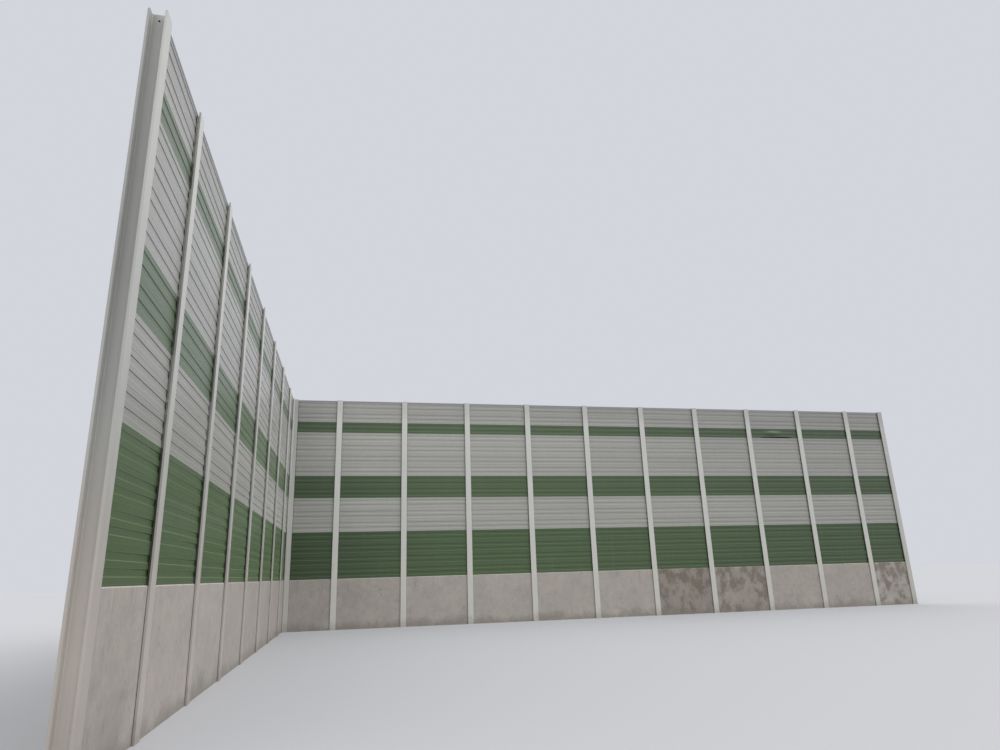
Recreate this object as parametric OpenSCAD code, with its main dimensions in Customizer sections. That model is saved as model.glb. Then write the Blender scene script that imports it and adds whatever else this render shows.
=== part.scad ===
// Noise barrier, L-shaped in plan. A short run and a long run of steel H-posts meet at a right angle.
// Each bay holds one tall concrete plinth and a stack of folded metal cassettes in grey and green bands.
// Lengths are in millimetres. The origin is the foot of the long run's corner post, +X points along the
// long run and -Y along the short run, so the inner side of the barrier has positive X and negative Y.

/* [Layout] */
// Distance between post centres in a full bay
bay_l = 3000; // [2400:50:3600]
// First bay of the short run, beside the corner
short_corner_bay_l = 1800; // [1200:50:3600]
// Full bays of the short run
short_full_bays = 6; // [1:1:8]
// Bay at the free end of the short run
short_end_bay_l = 2250; // [1200:50:3600]
// First bay of the long run, beside the corner
long_corner_bay_l = 2000; // [1200:50:3600]
// Full bays of the long run
long_full_bays = 9; // [4:1:9]
// Bay at the free end of the long run
long_end_bay_l = 2200; // [1200:50:3600]
// How far the short run's centre line lies beyond the centre of the long run's corner post
corner_shift = 175; // [130:5:190]

/* [Posts] */
// Depth of the H-section across the wall
post_d = 270; // [264:2:300]
// Width of each flange along the wall
flange_w = 248; // [220:4:300]
// Thickness of each flange
flange_t = 32; // [20:1:34]
// Thickness of the web
web_t = 18; // [10:1:22]
// Radius of the fillets between web and flanges
root_r = 21; // [12:1:26]
// Height of a post above the stack of cassettes
post_rise = 35; // [20:5:150]
// Diameter of the lifting hole in the web
hole_d = 38; // [20:2:60]
// Distance from the top of a post down to the middle of its lifting hole
hole_drop = 110; // [60:5:200]

/* [Cassettes] */
// Height of one flat field of a cassette face
field_h = 100; // [80:2:120]
// Recessed fields in one cassette, each between two raised ones
recesses = 2; // [1:1:3]
// Thickness of a cassette over its raised fields
cassette_t = 140; // [110:2:150]
// Depth of a recessed field
recess_d = 12; // [4:1:20]
// Height of the folded slope beside a recessed field
slope_h = 10; // [4:1:20]
// Small bevel along the upper edge of a cassette face
edge_bevel = 5; // [2:1:10]
// Width of the tongue on top of a cassette
tongue_t = 66; // [40:2:80]
// Height of the tongue
tongue_h = 12; // [6:1:16]
// How much narrower the tongue is at its tip than at its foot, on each side
tongue_taper = 3; // [1:1:6]
// Play between a tongue and the groove that it sits in
tongue_play = 1.5; // [0.5:0.5:3]
// How far the end of a cassette reaches in behind the flanges of a post
cassette_lap = 93; // [60:1:95]

/* [Bands] */
// Rows of green cassettes above the plinth
green_low_rows = 4; // [1:1:5]
// Rows of grey cassettes in the lower grey band
grey_low_rows = 3; // [1:1:5]
// Rows in the middle green band
green_mid_rows = 2; // [1:1:4]
// Rows in the upper grey band
grey_mid_rows = 4; // [1:1:5]
// Rows in the thin green band near the top
green_top_rows = 1; // [1:1:3]
// Rows of grey cassettes at the top
grey_top_rows = 2; // [1:1:4]

/* [Plinths] */
// Height of a concrete plinth
plinth_h = 2100; // [600:50:2600]
// Thickness of a concrete plinth
plinth_t = 190; // [176:2:196]
// Bevel on the edges of a plinth
plinth_bevel = 20; // [8:1:28]
// How far the end of a plinth reaches in behind the flanges of a post
plinth_lap = 90; // [60:1:92]
// Height of the joint between a plinth and the lowest cassette
bearing_h = 8; // [4:1:20]
// Width of the rubber strip in that joint
bearing_w = 120; // [90:2:130]

/* [Seals] */
// Width of the rubber seals, measured along the wall
seal_w = 40; // [20:2:60]
// Distance from the edge of a flange back to the seal
seal_inset = 25; // [5:1:35]

/* [Closing sheets] */
// Thickness of the capping sheet on the top cassettes
cap_t = 2; // [1:0.5:4]
// Height of the legs of the capping sheet
cap_leg = 45; // [20:1:60]
// Thickness of the sheet that closes the outer corner
corner_sheet_t = 4; // [2:0.5:8]
// How far that sheet laps over the outer flange of each corner post
corner_lap = 120; // [40:5:120]

/* [Buckled cassette] */
// Full bays between the buckled cassette and the end bay of the long run
buckle_bays_back = 1; // [0:1:3]
// Length of the buckled stretch
buckle_l = 1950; // [600:50:2000]
// Distance from the middle of the cassette to the middle of that stretch
buckle_shift = 120; // [0:10:150]
// How far the lower edge of the face bulges out
buckle_out = 30; // [5:1:40]
// How far the lower edge of the face is lifted
buckle_up = 60; // [10:1:70]

/* [Fit] */
// Seating clearance between pieces that rest on each other
seat = 0.3; // [0.1:0.05:0.5]

/* [Hidden] */

// Smoothness of the fillets and holes of the posts
round_fn = 48;
// How far a cutting shape reaches past what it cuts
past = 1;

post_paint = [0.74, 0.76, 0.73];
grey_paint = [0.66, 0.66, 0.65];
green_paint = [0.31, 0.42, 0.30];
concrete = [0.62, 0.60, 0.58];
rubber = [0.09, 0.09, 0.09];
bare_metal = [0.50, 0.51, 0.52];

// Bays from the corner to the free end
short_bays = [short_corner_bay_l, for (i = [1 : short_full_bays]) bay_l, short_end_bay_l];
long_bays = [long_corner_bay_l, for (i = [1 : long_full_bays]) bay_l, long_end_bay_l];

// Rows are counted from the plinth up
grey_low_first = green_low_rows;
green_mid_first = grey_low_first + grey_low_rows;
grey_mid_first = green_mid_first + green_mid_rows;
green_top_first = grey_mid_first + grey_mid_rows;
grey_top_first = green_top_first + green_top_rows;
row_count = grey_top_first + grey_top_rows;

cassette_h = (2 * recesses + 1) * field_h;
face_y = cassette_t / 2;
shoulder_z = cassette_h - seat;
stack_z = plinth_h + bearing_h;
stack_h = row_count * cassette_h;
post_h = stack_z + stack_h + post_rise;
pocket_w = post_d - 2 * flange_t;
cap_z = stack_z + stack_h + tongue_h;

// The short run's corner post stands against the face of the long run's corner post
short_run_x = -corner_shift;
short_run_y = -(post_d + flange_w) / 2 - seat;

buckle_bay = len(long_bays) - 2 - buckle_bays_back;
// Height over which the buckle fades out, and the stations along the cassette that carry its shape
buckle_fade_h = 2 * field_h + 2 * slope_h;
buckle_stations = 24;
// How long the buckle stays nearly whole before it fades
buckle_fullness = 6;

// Distance from the corner post to post i of a run
function post_at(bays, i) = i <= 0 ? 0 : bays[i - 1] + post_at(bays, i - 1);

// Length of a piece that stands between two posts and reaches in behind the flanges of both
function panel_l(bay, lap) = bay - flange_w + 2 * lap;
function row_z(row) = stack_z + row * cassette_h;

// One face of a cassette in section, from its lower lip up to the shoulder, on the +Y side
function face_points() = [
    [face_y, 0],
    for (k = [0 : recesses - 1]) each [
        [face_y, (2 * k + 1) * field_h],
        [face_y - recess_d, (2 * k + 1) * field_h + slope_h],
        [face_y - recess_d, (2 * k + 2) * field_h],
        [face_y, (2 * k + 2) * field_h + slope_h]
    ],
    [face_y, shoulder_z - edge_bevel],
    [face_y - edge_bevel, shoulder_z]
];

// One half of the tongue, and one half of the groove below that takes the next tongue
function tongue_points() = [
    [tongue_t / 2, shoulder_z],
    [tongue_t / 2 - tongue_taper, shoulder_z + tongue_h]
];
function groove_points() = [
    [tongue_t / 2 - tongue_taper + tongue_play, tongue_h + tongue_play],
    [tongue_t / 2 + tongue_play, 0]
];

function mirrored(points) = [for (i = [len(points) - 1 : -1 : 0]) [-points[i][0], points[i][1]]];

// The whole section of a cassette, anticlockwise from its groove
function cassette_points() = let (half = [each groove_points(), each face_points(), each tongue_points()])
    [each half, each mirrored(half)];

// Share of the buckle at a place along the cassette: nearly whole over the middle, fading to its ends
function buckle_share(x, middle) = max(0, 1 - pow(2 * abs(x - middle) / buckle_l, buckle_fullness));

// A point of the section moved by the buckle: only the lower part of the inner face gives way
function buckled(point, share) =
    let (
        side = max(0, -point[0] / face_y),
        fade = max(0, 1 - point[1] / buckle_fade_h)
    )
    [point[0] - side * fade * share * buckle_out, point[1] + side * fade * share * buckle_up];

// Places a run: the long one lies along +X as drawn, the short one is turned to run along -Y
module in_short_run() {
    translate([short_run_x, short_run_y, 0]) rotate([0, 0, -90]) mirror([0, 1, 0]) children();
}

// Draws its children once for each bay, with the post at the bay's start as their origin
module each_bay(bays) {
    for (i = [0 : len(bays) - 1]) {
        $bay_i = i;
        $bay_l = bays[i];
        translate([post_at(bays, i), 0, 0]) children();
    }
}

// Draws its children at both ends of the current bay, turned so that +X points into the bay
module each_bay_end() {
    children();
    translate([$bay_l, 0, 0]) mirror([1, 0, 0]) children();
}

// The space between the flanges on one side of the web, with the root fillets left standing
module post_pocket() {
    flat_w = pocket_w / 2 - root_r;
    reach = flange_w / 2 - web_t / 2 + past;
    translate([web_t / 2 + root_r, -pocket_w / 2]) square([reach - root_r, pocket_w]);
    translate([web_t / 2, -flat_w]) square([root_r + past, 2 * flat_w]);
    for (side = [-1, 1]) translate([web_t / 2 + root_r, side * flat_w]) circle(r = root_r, $fn = round_fn);
}

// Rolled H-section in plan, with its web across the wall's length
module post_section() {
    difference() {
        square([flange_w, post_d], center = true);
        post_pocket();
        mirror([1, 0]) post_pocket();
    }
}

module post() {
    difference() {
        linear_extrude(height = post_h) post_section();
        translate([-web_t, 0, post_h - hole_drop]) rotate([0, 90, 0])
            cylinder(d = hole_d, h = 2 * web_t, $fn = round_fn);
    }
}

module line_posts(bays) {
    for (i = [1 : len(bays) - 1]) translate([post_at(bays, i), 0, 0]) post();
}

module end_post(bays) {
    translate([post_at(bays, len(bays)), 0, 0]) post();
}

// One folded cassette of the given length, from its left end
module cassette(length) {
    rotate([90, 0, 90]) linear_extrude(height = length) polygon(cassette_points());
}

module place_cassette(row) {
    translate([flange_w / 2 - cassette_lap, 0, row_z(row)]) children();
}

module cassette_band(bays, first_row, rows, skipped_bay = -1) {
    each_bay(bays) if ($bay_i != skipped_bay)
        for (row = [first_row : first_row + rows - 1])
            place_cassette(row) cassette(panel_l($bay_l, cassette_lap));
}

// The same cassette with its lower inner edge bulged out and lifted along part of its length
module buckled_shape(length) {
    outline = cassette_points();
    n = len(outline);
    middle = length / 2 + buckle_shift;
    stations = [
        0,
        for (k = [0 : buckle_stations]) middle + buckle_l * (k / buckle_stations - 0.5),
        length
    ];
    points = [
        for (x = stations) for (p = outline)
            let (q = buckled(p, buckle_share(x, middle))) [x, q[0], q[1]]
    ];
    sides = [
        for (s = [0 : len(stations) - 2]) for (i = [0 : n - 1])
            [s * n + i, (s + 1) * n + i, (s + 1) * n + (i + 1) % n, s * n + (i + 1) % n]
    ];
    first_end = [for (i = [0 : n - 1]) i];
    last_end = [for (i = [n - 1 : -1 : 0]) (len(stations) - 1) * n + i];
    polyhedron(points, [each sides, first_end, last_end], convexity = 6);
}

// Concrete panel with bevelled top and end edges
module plinth(length) {
    half = plinth_t / 2;
    bevel = plinth_bevel;
    intersection() {
        rotate([90, 0, 90]) linear_extrude(height = length) polygon([
            [-half, 0], [half, 0], [half, plinth_h - bevel], [half - bevel, plinth_h],
            [bevel - half, plinth_h], [-half, plinth_h - bevel]
        ]);
        linear_extrude(height = plinth_h) polygon([
            [bevel, -half], [length - bevel, -half], [length, bevel - half], [length, half - bevel],
            [length - bevel, half], [bevel, half], [0, half - bevel], [0, bevel - half]
        ]);
    }
}

module plinths(bays) {
    each_bay(bays) translate([flange_w / 2 - plinth_lap, 0, 0]) plinth(panel_l($bay_l, plinth_lap));
}

// Upright strip between a flange and the piece that stands in its pocket, on the inner or outer side
module pocket_strip(side, piece_t, from_z, height) {
    thick = (pocket_w - piece_t) / 2 - 2 * seat;
    start = flange_w / 2 - seal_inset - seal_w;
    middle_y = side * (pocket_w + piece_t) / 4;
    translate([start, middle_y - thick / 2, from_z]) cube([seal_w, thick, height]);
}

module plinth_strips(bays) {
    each_bay(bays) each_bay_end() for (side = [-1, 1])
        pocket_strip(side, plinth_t, 0, plinth_h - plinth_bevel);
}

// The seals stop below the capping sheet
module seals(bays, side) {
    each_bay(bays) each_bay_end()
        pocket_strip(side, cassette_t, stack_z, stack_h - cap_leg - 2 * seat);
}

module bearing_strips(bays) {
    each_bay(bays) place_cassette(0) translate([0, -bearing_w / 2, seat - bearing_h])
        cube([panel_l($bay_l, cassette_lap), bearing_w, bearing_h - 2 * seat]);
}

// Folded sheet that rides on the tongue of the top cassette and laps over both of its faces
module capping(bays) {
    inner = face_y + seat;
    outer = inner + cap_t;
    leg_z = stack_z + stack_h - cap_leg;
    each_bay(bays) translate([flange_w / 2 - cassette_lap, 0, 0])
        rotate([90, 0, 90]) linear_extrude(height = panel_l($bay_l, cassette_lap)) polygon([
            [inner, leg_z], [outer, leg_z], [outer, cap_z + cap_t], [-outer, cap_z + cap_t],
            [-outer, leg_z], [-inner, leg_z], [-inner, cap_z], [inner, cap_z]
        ]);
}

module short_run_end_post() { color(post_paint) in_short_run() end_post(short_bays); }
module short_run_line_posts() { color(post_paint) in_short_run() line_posts(short_bays); }
module short_run_corner_post() { color(post_paint) in_short_run() post(); }
module long_run_corner_post() { color(post_paint) post(); }
module long_run_line_posts() { color(post_paint) line_posts(long_bays); }
module long_run_end_post() { color(post_paint) end_post(long_bays); }

// Angle sheet on the outer flanges of the two corner posts, from the ground to the post tops
module corner_closing_sheet() {
    inner_x = short_run_x - post_d / 2 - seat;
    outer_x = inner_x - corner_sheet_t;
    inner_y = post_d / 2 + seat;
    outer_y = inner_y + corner_sheet_t;
    low_y = short_run_y + flange_w / 2 - corner_lap;
    high_x = corner_lap - flange_w / 2;
    color(post_paint) linear_extrude(height = post_h) polygon([
        [outer_x, low_y], [inner_x, low_y], [inner_x, inner_y],
        [high_x, inner_y], [high_x, outer_y], [outer_x, outer_y]
    ]);
}

module short_run_plinths() { color(concrete) in_short_run() plinths(short_bays); }
module long_run_plinths() { color(concrete) plinths(long_bays); }
module short_run_plinth_strips() { color(rubber) in_short_run() plinth_strips(short_bays); }
module long_run_plinth_strips() { color(rubber) plinth_strips(long_bays); }
module short_run_bearing_strips() { color(rubber) in_short_run() bearing_strips(short_bays); }
module long_run_bearing_strips() { color(rubber) bearing_strips(long_bays); }

module short_run_green_low() {
    color(green_paint) in_short_run() cassette_band(short_bays, 0, green_low_rows);
}
module short_run_grey_low() {
    color(grey_paint) in_short_run() cassette_band(short_bays, grey_low_first, grey_low_rows);
}
module short_run_green_mid() {
    color(green_paint) in_short_run() cassette_band(short_bays, green_mid_first, green_mid_rows);
}
module short_run_grey_mid() {
    color(grey_paint) in_short_run() cassette_band(short_bays, grey_mid_first, grey_mid_rows);
}
module short_run_green_top() {
    color(green_paint) in_short_run() cassette_band(short_bays, green_top_first, green_top_rows);
}
module short_run_grey_top() {
    color(grey_paint) in_short_run() cassette_band(short_bays, grey_top_first, grey_top_rows);
}

module long_run_green_low() { color(green_paint) cassette_band(long_bays, 0, green_low_rows); }
module long_run_grey_low() { color(grey_paint) cassette_band(long_bays, grey_low_first, grey_low_rows); }
module long_run_green_mid() { color(green_paint) cassette_band(long_bays, green_mid_first, green_mid_rows); }
module long_run_grey_mid() { color(grey_paint) cassette_band(long_bays, grey_mid_first, grey_mid_rows); }
module long_run_grey_top() { color(grey_paint) cassette_band(long_bays, grey_top_first, grey_top_rows); }

// The buckled cassette takes the lowest place of this band in its bay
module long_run_green_top() {
    color(green_paint) {
        cassette_band(long_bays, green_top_first, 1, buckle_bay);
        if (green_top_rows > 1) cassette_band(long_bays, green_top_first + 1, green_top_rows - 1);
    }
}

module buckled_cassette() {
    color(green_paint) translate([post_at(long_bays, buckle_bay), 0, 0])
        place_cassette(green_top_first) buckled_shape(panel_l(long_bays[buckle_bay], cassette_lap));
}

module short_run_front_seals() { color(rubber) in_short_run() seals(short_bays, -1); }
module short_run_rear_seals() { color(rubber) in_short_run() seals(short_bays, 1); }
module long_run_front_seals() { color(rubber) seals(long_bays, -1); }
module long_run_rear_seals() { color(rubber) seals(long_bays, 1); }

module short_run_capping() { color(bare_metal) in_short_run() capping(short_bays); }
module long_run_capping() { color(bare_metal) capping(long_bays); }

short_run_end_post();
short_run_line_posts();
short_run_corner_post();
long_run_corner_post();
long_run_line_posts();
long_run_end_post();
corner_closing_sheet();
short_run_plinths();
long_run_plinths();
short_run_plinth_strips();
long_run_plinth_strips();
short_run_bearing_strips();
long_run_bearing_strips();
short_run_green_low();
short_run_grey_low();
short_run_green_mid();
short_run_grey_mid();
short_run_green_top();
short_run_grey_top();
long_run_green_low();
long_run_grey_low();
long_run_green_mid();
long_run_grey_mid();
long_run_green_top();
long_run_grey_top();
buckled_cassette();
short_run_front_seals();
short_run_rear_seals();
long_run_front_seals();
long_run_rear_seals();
short_run_capping();
long_run_capping();
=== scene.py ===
import logging
import math
from dataclasses import KW_ONLY, dataclass
from enum import Enum
from typing import Iterable, Union

import bmesh
import bpy
from mathutils import Matrix, Vector


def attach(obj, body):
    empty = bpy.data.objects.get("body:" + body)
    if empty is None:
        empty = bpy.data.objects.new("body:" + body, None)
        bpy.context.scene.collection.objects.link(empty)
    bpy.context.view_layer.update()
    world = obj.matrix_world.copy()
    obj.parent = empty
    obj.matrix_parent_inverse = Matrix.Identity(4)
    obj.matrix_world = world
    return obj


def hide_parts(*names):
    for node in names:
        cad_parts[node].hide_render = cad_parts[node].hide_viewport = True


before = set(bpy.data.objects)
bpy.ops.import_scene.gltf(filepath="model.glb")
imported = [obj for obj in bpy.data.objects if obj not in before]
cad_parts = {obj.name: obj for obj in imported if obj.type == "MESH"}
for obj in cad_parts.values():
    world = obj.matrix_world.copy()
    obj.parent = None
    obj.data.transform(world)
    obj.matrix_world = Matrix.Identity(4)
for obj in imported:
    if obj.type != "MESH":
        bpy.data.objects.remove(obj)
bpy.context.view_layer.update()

LOG = logging.getLogger("noise_barrier")

Colour = tuple[float, float, float]
Point = tuple[float, float, float]
Pair = tuple[float, float]
Span = tuple[float, float]
Line = tuple[Vector, Vector, Vector]


def linear(red: int, green: int, blue: int) -> Colour:
    """Turns a colour from 0 to 255 as a screen shows it into the linear values that a shader takes.

    Args:
        red: Red share.
        green: Green share.
        blue: Blue share.

    Returns:
        The same colour in linear values.
    """

    def channel(share: int) -> float:
        """Undoes the screen's curve for one channel."""
        value = share / 255
        return value / 12.92 if value <= 0.04045 else ((value + 0.055) / 1.055) ** 2.4

    return channel(red), channel(green), channel(blue)


class Run(Enum):
    """The two straight runs of the barrier, which meet at the corner."""

    SHORT = "short_run"
    LONG = "long_run"


@dataclass(frozen=True)
class RunLayout:
    """Where the bays of one run lie, in metres along the run from the corner post.

    Attributes:
        run: Which run it is.
        origin: Place of the run's corner post.
        corner_bay: Length of the bay beside the corner.
        full_bays: How many full bays follow it.
        end_bay: Length of the bay at the free end.
        full_bay: Length of a full bay.
    """

    run: Run
    origin: Pair
    corner_bay: float
    full_bays: int
    end_bay: float
    full_bay: float = 3.0

    def posts(self) -> list[float]:
        """Lists where the posts stand.

        Returns:
            Distances of the posts from the corner post, the corner post included.
        """
        rows = [0.0, self.corner_bay]
        rows += [self.corner_bay + self.full_bay * (i + 1) for i in range(self.full_bays)]
        return rows + [rows[-1] + self.end_bay]

    def length(self) -> float:
        """Distance from the corner post to the post at the free end."""
        return self.posts()[-1]

    def place(self, along: float, inward: float, height: float) -> Vector:
        """Turns a place on the run into the frame's coordinates.

        Args:
            along: Distance from the corner post along the run.
            inward: Distance from the run's centre line towards the inner side.
            height: Height above the ground.

        Returns:
            The place in metres.
        """
        x, y = self.origin
        if self.run is Run.LONG:
            return Vector((x + along, y - inward, height))
        return Vector((x + inward, y - along, height))

    def inward(self) -> Vector:
        """Direction towards the inner side of the barrier."""
        return Vector((0, -1, 0)) if self.run is Run.LONG else Vector((1, 0, 0))


SHORT_RUN = RunLayout(Run.SHORT, (-0.175, -0.2593), 1.8, 6, 2.25)
LONG_RUN = RunLayout(Run.LONG, (0.0, 0.0), 2.0, 9, 2.2)


@dataclass(frozen=True)
class Value:
    """A number in a node tree that takes part in Python arithmetic.

    Attributes:
        tree: The tree that new Math nodes go into.
        socket: The output socket that carries the number.
    """

    tree: "Tree"
    socket: bpy.types.NodeSocket

    def __add__(self, other: "Number") -> "Value":
        """Sum."""
        return self.tree.math("ADD", self, other)

    __radd__ = __add__

    def __sub__(self, other: "Number") -> "Value":
        """Difference."""
        return self.tree.math("SUBTRACT", self, other)

    def __rsub__(self, other: "Number") -> "Value":
        """Difference with this value taken away."""
        return self.tree.math("SUBTRACT", other, self)

    def __mul__(self, other: "Number") -> "Value":
        """Product."""
        return self.tree.math("MULTIPLY", self, other)

    __rmul__ = __mul__

    def __truediv__(self, other: "Number") -> "Value":
        """Quotient."""
        return self.tree.math("DIVIDE", self, other)

    def __neg__(self) -> "Value":
        """The value with its sign turned."""
        return self.tree.math("MULTIPLY", self, -1.0)

    def __gt__(self, other: "Number") -> "Value":
        """One where this value is larger, else nought."""
        return self.tree.math("GREATER_THAN", self, other)

    def __lt__(self, other: "Number") -> "Value":
        """One where this value is smaller, else nought."""
        return self.tree.math("LESS_THAN", self, other)

    def floor(self) -> "Value":
        """The whole number below."""
        return self.tree.math("FLOOR", self)

    def fract(self) -> "Value":
        """What is left above the whole number below."""
        return self.tree.math("FRACT", self)

    def absolute(self) -> "Value":
        """The value without its sign."""
        return self.tree.math("ABSOLUTE", self)

    def swing(self, size: float) -> "Value":
        """A value from 0 to 1 made to lie evenly round nought, over the given size."""
        return (self - 0.5) * size

    def between(self, first: "Number", second: "Number") -> "Value":
        """What lies between two numbers as this value lies between 0 and 1."""
        return first + self * (second - first)


Number = Union[float, Value]
Paint = Union[Colour, bpy.types.NodeSocket]


@dataclass(frozen=True)
class Pattern:
    """Smooth noise of one kind.

    Attributes:
        scale: Blotches to the metre.
        detail: Octaves of finer noise.
        rough: Strength of each finer octave.
        stretch: Factor on each axis before the noise is read, so less than 1 draws it out.
        tone: How much it changes the tone of what it lies on.
        sheen: How much it changes the roughness.
        height: Its share of the relief.
    """

    scale: float
    detail: float = 2.0
    rough: float = 0.5
    stretch: Point | None = None
    tone: float = 0.0
    sheen: float = 0.0
    height: float = 0.0


def varied(tone: Number, noises: Iterable[Value], patterns: Iterable[Pattern]) -> Number:
    """A tone that each noise changes by the share that its pattern gives."""
    return sum((noise.swing(pattern.tone) for noise, pattern in zip(noises, patterns)), tone)


@dataclass(frozen=True)
class Stain:
    """A stain that shows where its noise is strong.

    Attributes:
        pattern: The noise.
        marks: Strengths of the noise between which the stain sets in.
        share: How strong the stain is in full.
    """

    pattern: Pattern
    marks: Span
    share: float = 1.0


@dataclass(frozen=True)
class Spots:
    """Round spots round scattered points.

    Attributes:
        scale: Points to the metre.
        edge: Distances from the point, in shares of the pitch, at which a spot ends and is whole.
        kept: Draw from 0 to 1 above which a point has a spot.
    """

    scale: float
    edge: Span
    kept: float


class Tree:
    """A node tree that is filled from Python expressions.

    Attributes:
        tree: The node tree.
        mix_inputs: Numbers of the Mix node's two colour inputs.
        mix_output: Number of its colour output.
    """

    mix_inputs = (6, 7)
    mix_output = 2

    def __init__(self, tree: bpy.types.NodeTree) -> None:
        """Takes the empty node tree to fill."""
        self.tree = tree

    def node(
        self,
        kind: str,
        settings: dict[str, object] | None = None,
        inputs: dict[str | int, object] | None = None,
    ) -> bpy.types.Node:
        """Adds a node.

        Args:
            kind: The node's type.
            settings: Properties that are set before the sockets.
            inputs: Value, colour, vector or link for each input, by name or number.

        Returns:
            The new node.
        """
        made = self.tree.nodes.new(kind)
        for name, setting in (settings or {}).items():
            setattr(made, name, setting)
        for key, given in (inputs or {}).items():
            socket = made.inputs[key]
            if isinstance(given, Value):
                given = given.socket
            if isinstance(given, bpy.types.NodeSocket):
                self.tree.links.new(given, socket)
            elif socket.type == "RGBA":
                socket.default_value = (*given, 1.0)
            else:
                socket.default_value = given
        return made

    def math(self, operation: str, first: Number, second: Number = 0.0) -> Value:
        """Adds a Math node."""
        made = self.node("ShaderNodeMath", {"operation": operation}, {0: first, 1: second})
        return Value(self, made.outputs[0])

    def point(self) -> bpy.types.NodeSocket:
        """The place on the object, in metres in the shared frame."""
        return self.node("ShaderNodeTexCoord").outputs["Object"]

    def axes(self, vector: bpy.types.NodeSocket) -> tuple[Value, Value, Value]:
        """Splits a vector into its three numbers."""
        made = self.node("ShaderNodeSeparateXYZ", inputs={0: vector})
        return tuple(Value(self, socket) for socket in made.outputs)

    def facing(self) -> tuple[Value, Value, Value]:
        """The surface's normal in the shared frame."""
        return self.axes(self.node("ShaderNodeNewGeometry").outputs["Normal"])

    def vector(self, x: Number, y: Number, z: Number) -> bpy.types.NodeSocket:
        """Joins three numbers into a vector."""
        return self.node("ShaderNodeCombineXYZ", inputs={0: x, 1: y, 2: z}).outputs[0]

    def noise(self, vector: bpy.types.NodeSocket, pattern: Pattern) -> Value:
        """Smooth noise from 0 to 1.

        Args:
            vector: Where it is read.
            pattern: What it is like.

        Returns:
            The noise.
        """
        if pattern.stretch:
            inputs = {0: vector, 1: pattern.stretch}
            vector = self.node("ShaderNodeVectorMath", {"operation": "MULTIPLY"}, inputs).outputs[0]
        inputs = {
            "Vector": vector,
            "Scale": pattern.scale,
            "Detail": pattern.detail,
            "Roughness": pattern.rough,
        }
        made = self.node("ShaderNodeTexNoise", {"normalize": True}, inputs)
        return Value(self, made.outputs["Fac"])

    def stain(self, vector: bpy.types.NodeSocket, stain: Stain) -> Value:
        """Mask of a stain, before its share."""
        return self.slope(self.noise(vector, stain.pattern), *stain.marks)

    def spots(self, vector: bpy.types.NodeSocket, spots: Spots) -> Value:
        """Mask of scattered round spots.

        Args:
            vector: Where it is read.
            spots: What they are like.

        Returns:
            One inside a spot, nought outside.
        """
        made = self.node("ShaderNodeTexVoronoi", inputs={"Vector": vector, "Scale": spots.scale})
        draw, _, _ = self.axes(made.outputs["Color"])
        return self.slope(Value(self, made.outputs["Distance"]), *spots.edge) * (draw > spots.kept)

    def lottery(self, x: Number, y: Number, z: Number) -> Value:
        """A random number for each set of whole numbers."""
        made = self.node("ShaderNodeTexWhiteNoise", {"noise_dimensions": "3D"}, {0: self.vector(x, y, z)})
        return Value(self, made.outputs["Value"])

    def slope(self, value: Number, start: float, end: float) -> Value:
        """Smooth step from 0 at the start to 1 at the end, which may lie the other way round.

        Args:
            value: The number that crosses the step.
            start: Where the step begins.
            end: Where it is whole.

        Returns:
            The step.
        """
        flipped = start > end
        low, high = (end, start) if flipped else (start, end)
        made = self.node(
            "ShaderNodeMapRange",
            {"interpolation_type": "SMOOTHSTEP", "clamp": True},
            {"Value": value, "From Min": low, "From Max": high},
        )
        step = Value(self, made.outputs["Result"])
        return 1.0 - step if flipped else step

    def mix(self, share: Number, first: Paint, second: Paint, blend: str = "MIX") -> bpy.types.NodeSocket:
        """Mixes two colours.

        Args:
            share: How much of the second colour.
            first: Colour under it.
            second: Colour on top.
            blend: How the second is laid on the first.

        Returns:
            The mixed colour.
        """
        under, top = self.mix_inputs
        made = self.node(
            "ShaderNodeMix",
            {"data_type": "RGBA", "blend_type": blend, "clamp_factor": True},
            {0: share, under: first, top: second},
        )
        return made.outputs[self.mix_output]

    def toned(self, colour: Paint, tone: Value) -> bpy.types.NodeSocket:
        """A colour made lighter or darker by a factor round one."""
        return self.mix(1.0, colour, self.vector(tone, tone, tone), "MULTIPLY")

    def backdrop_rays(self) -> Value:
        """Picks the rays that show what lies behind the object: seen, mirrored or seen through.

        Returns:
            One for those rays, nought for the rays that carry light to it.
        """
        path = self.node("ShaderNodeLightPath").outputs
        seen, mirrored, through = (
            Value(self, path[f"Is {kind} Ray"]) for kind in ("Camera", "Glossy", "Transmission")
        )
        return seen + mirrored + through

    def bump(self, height: Value, distance: float, strength: float) -> bpy.types.NodeSocket:
        """A normal from a height of 0 to 1, given the real height in metres that 1 stands for."""
        inputs = {"Height": height, "Distance": distance, "Strength": strength}
        return self.node("ShaderNodeBump", inputs=inputs).outputs["Normal"]


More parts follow.
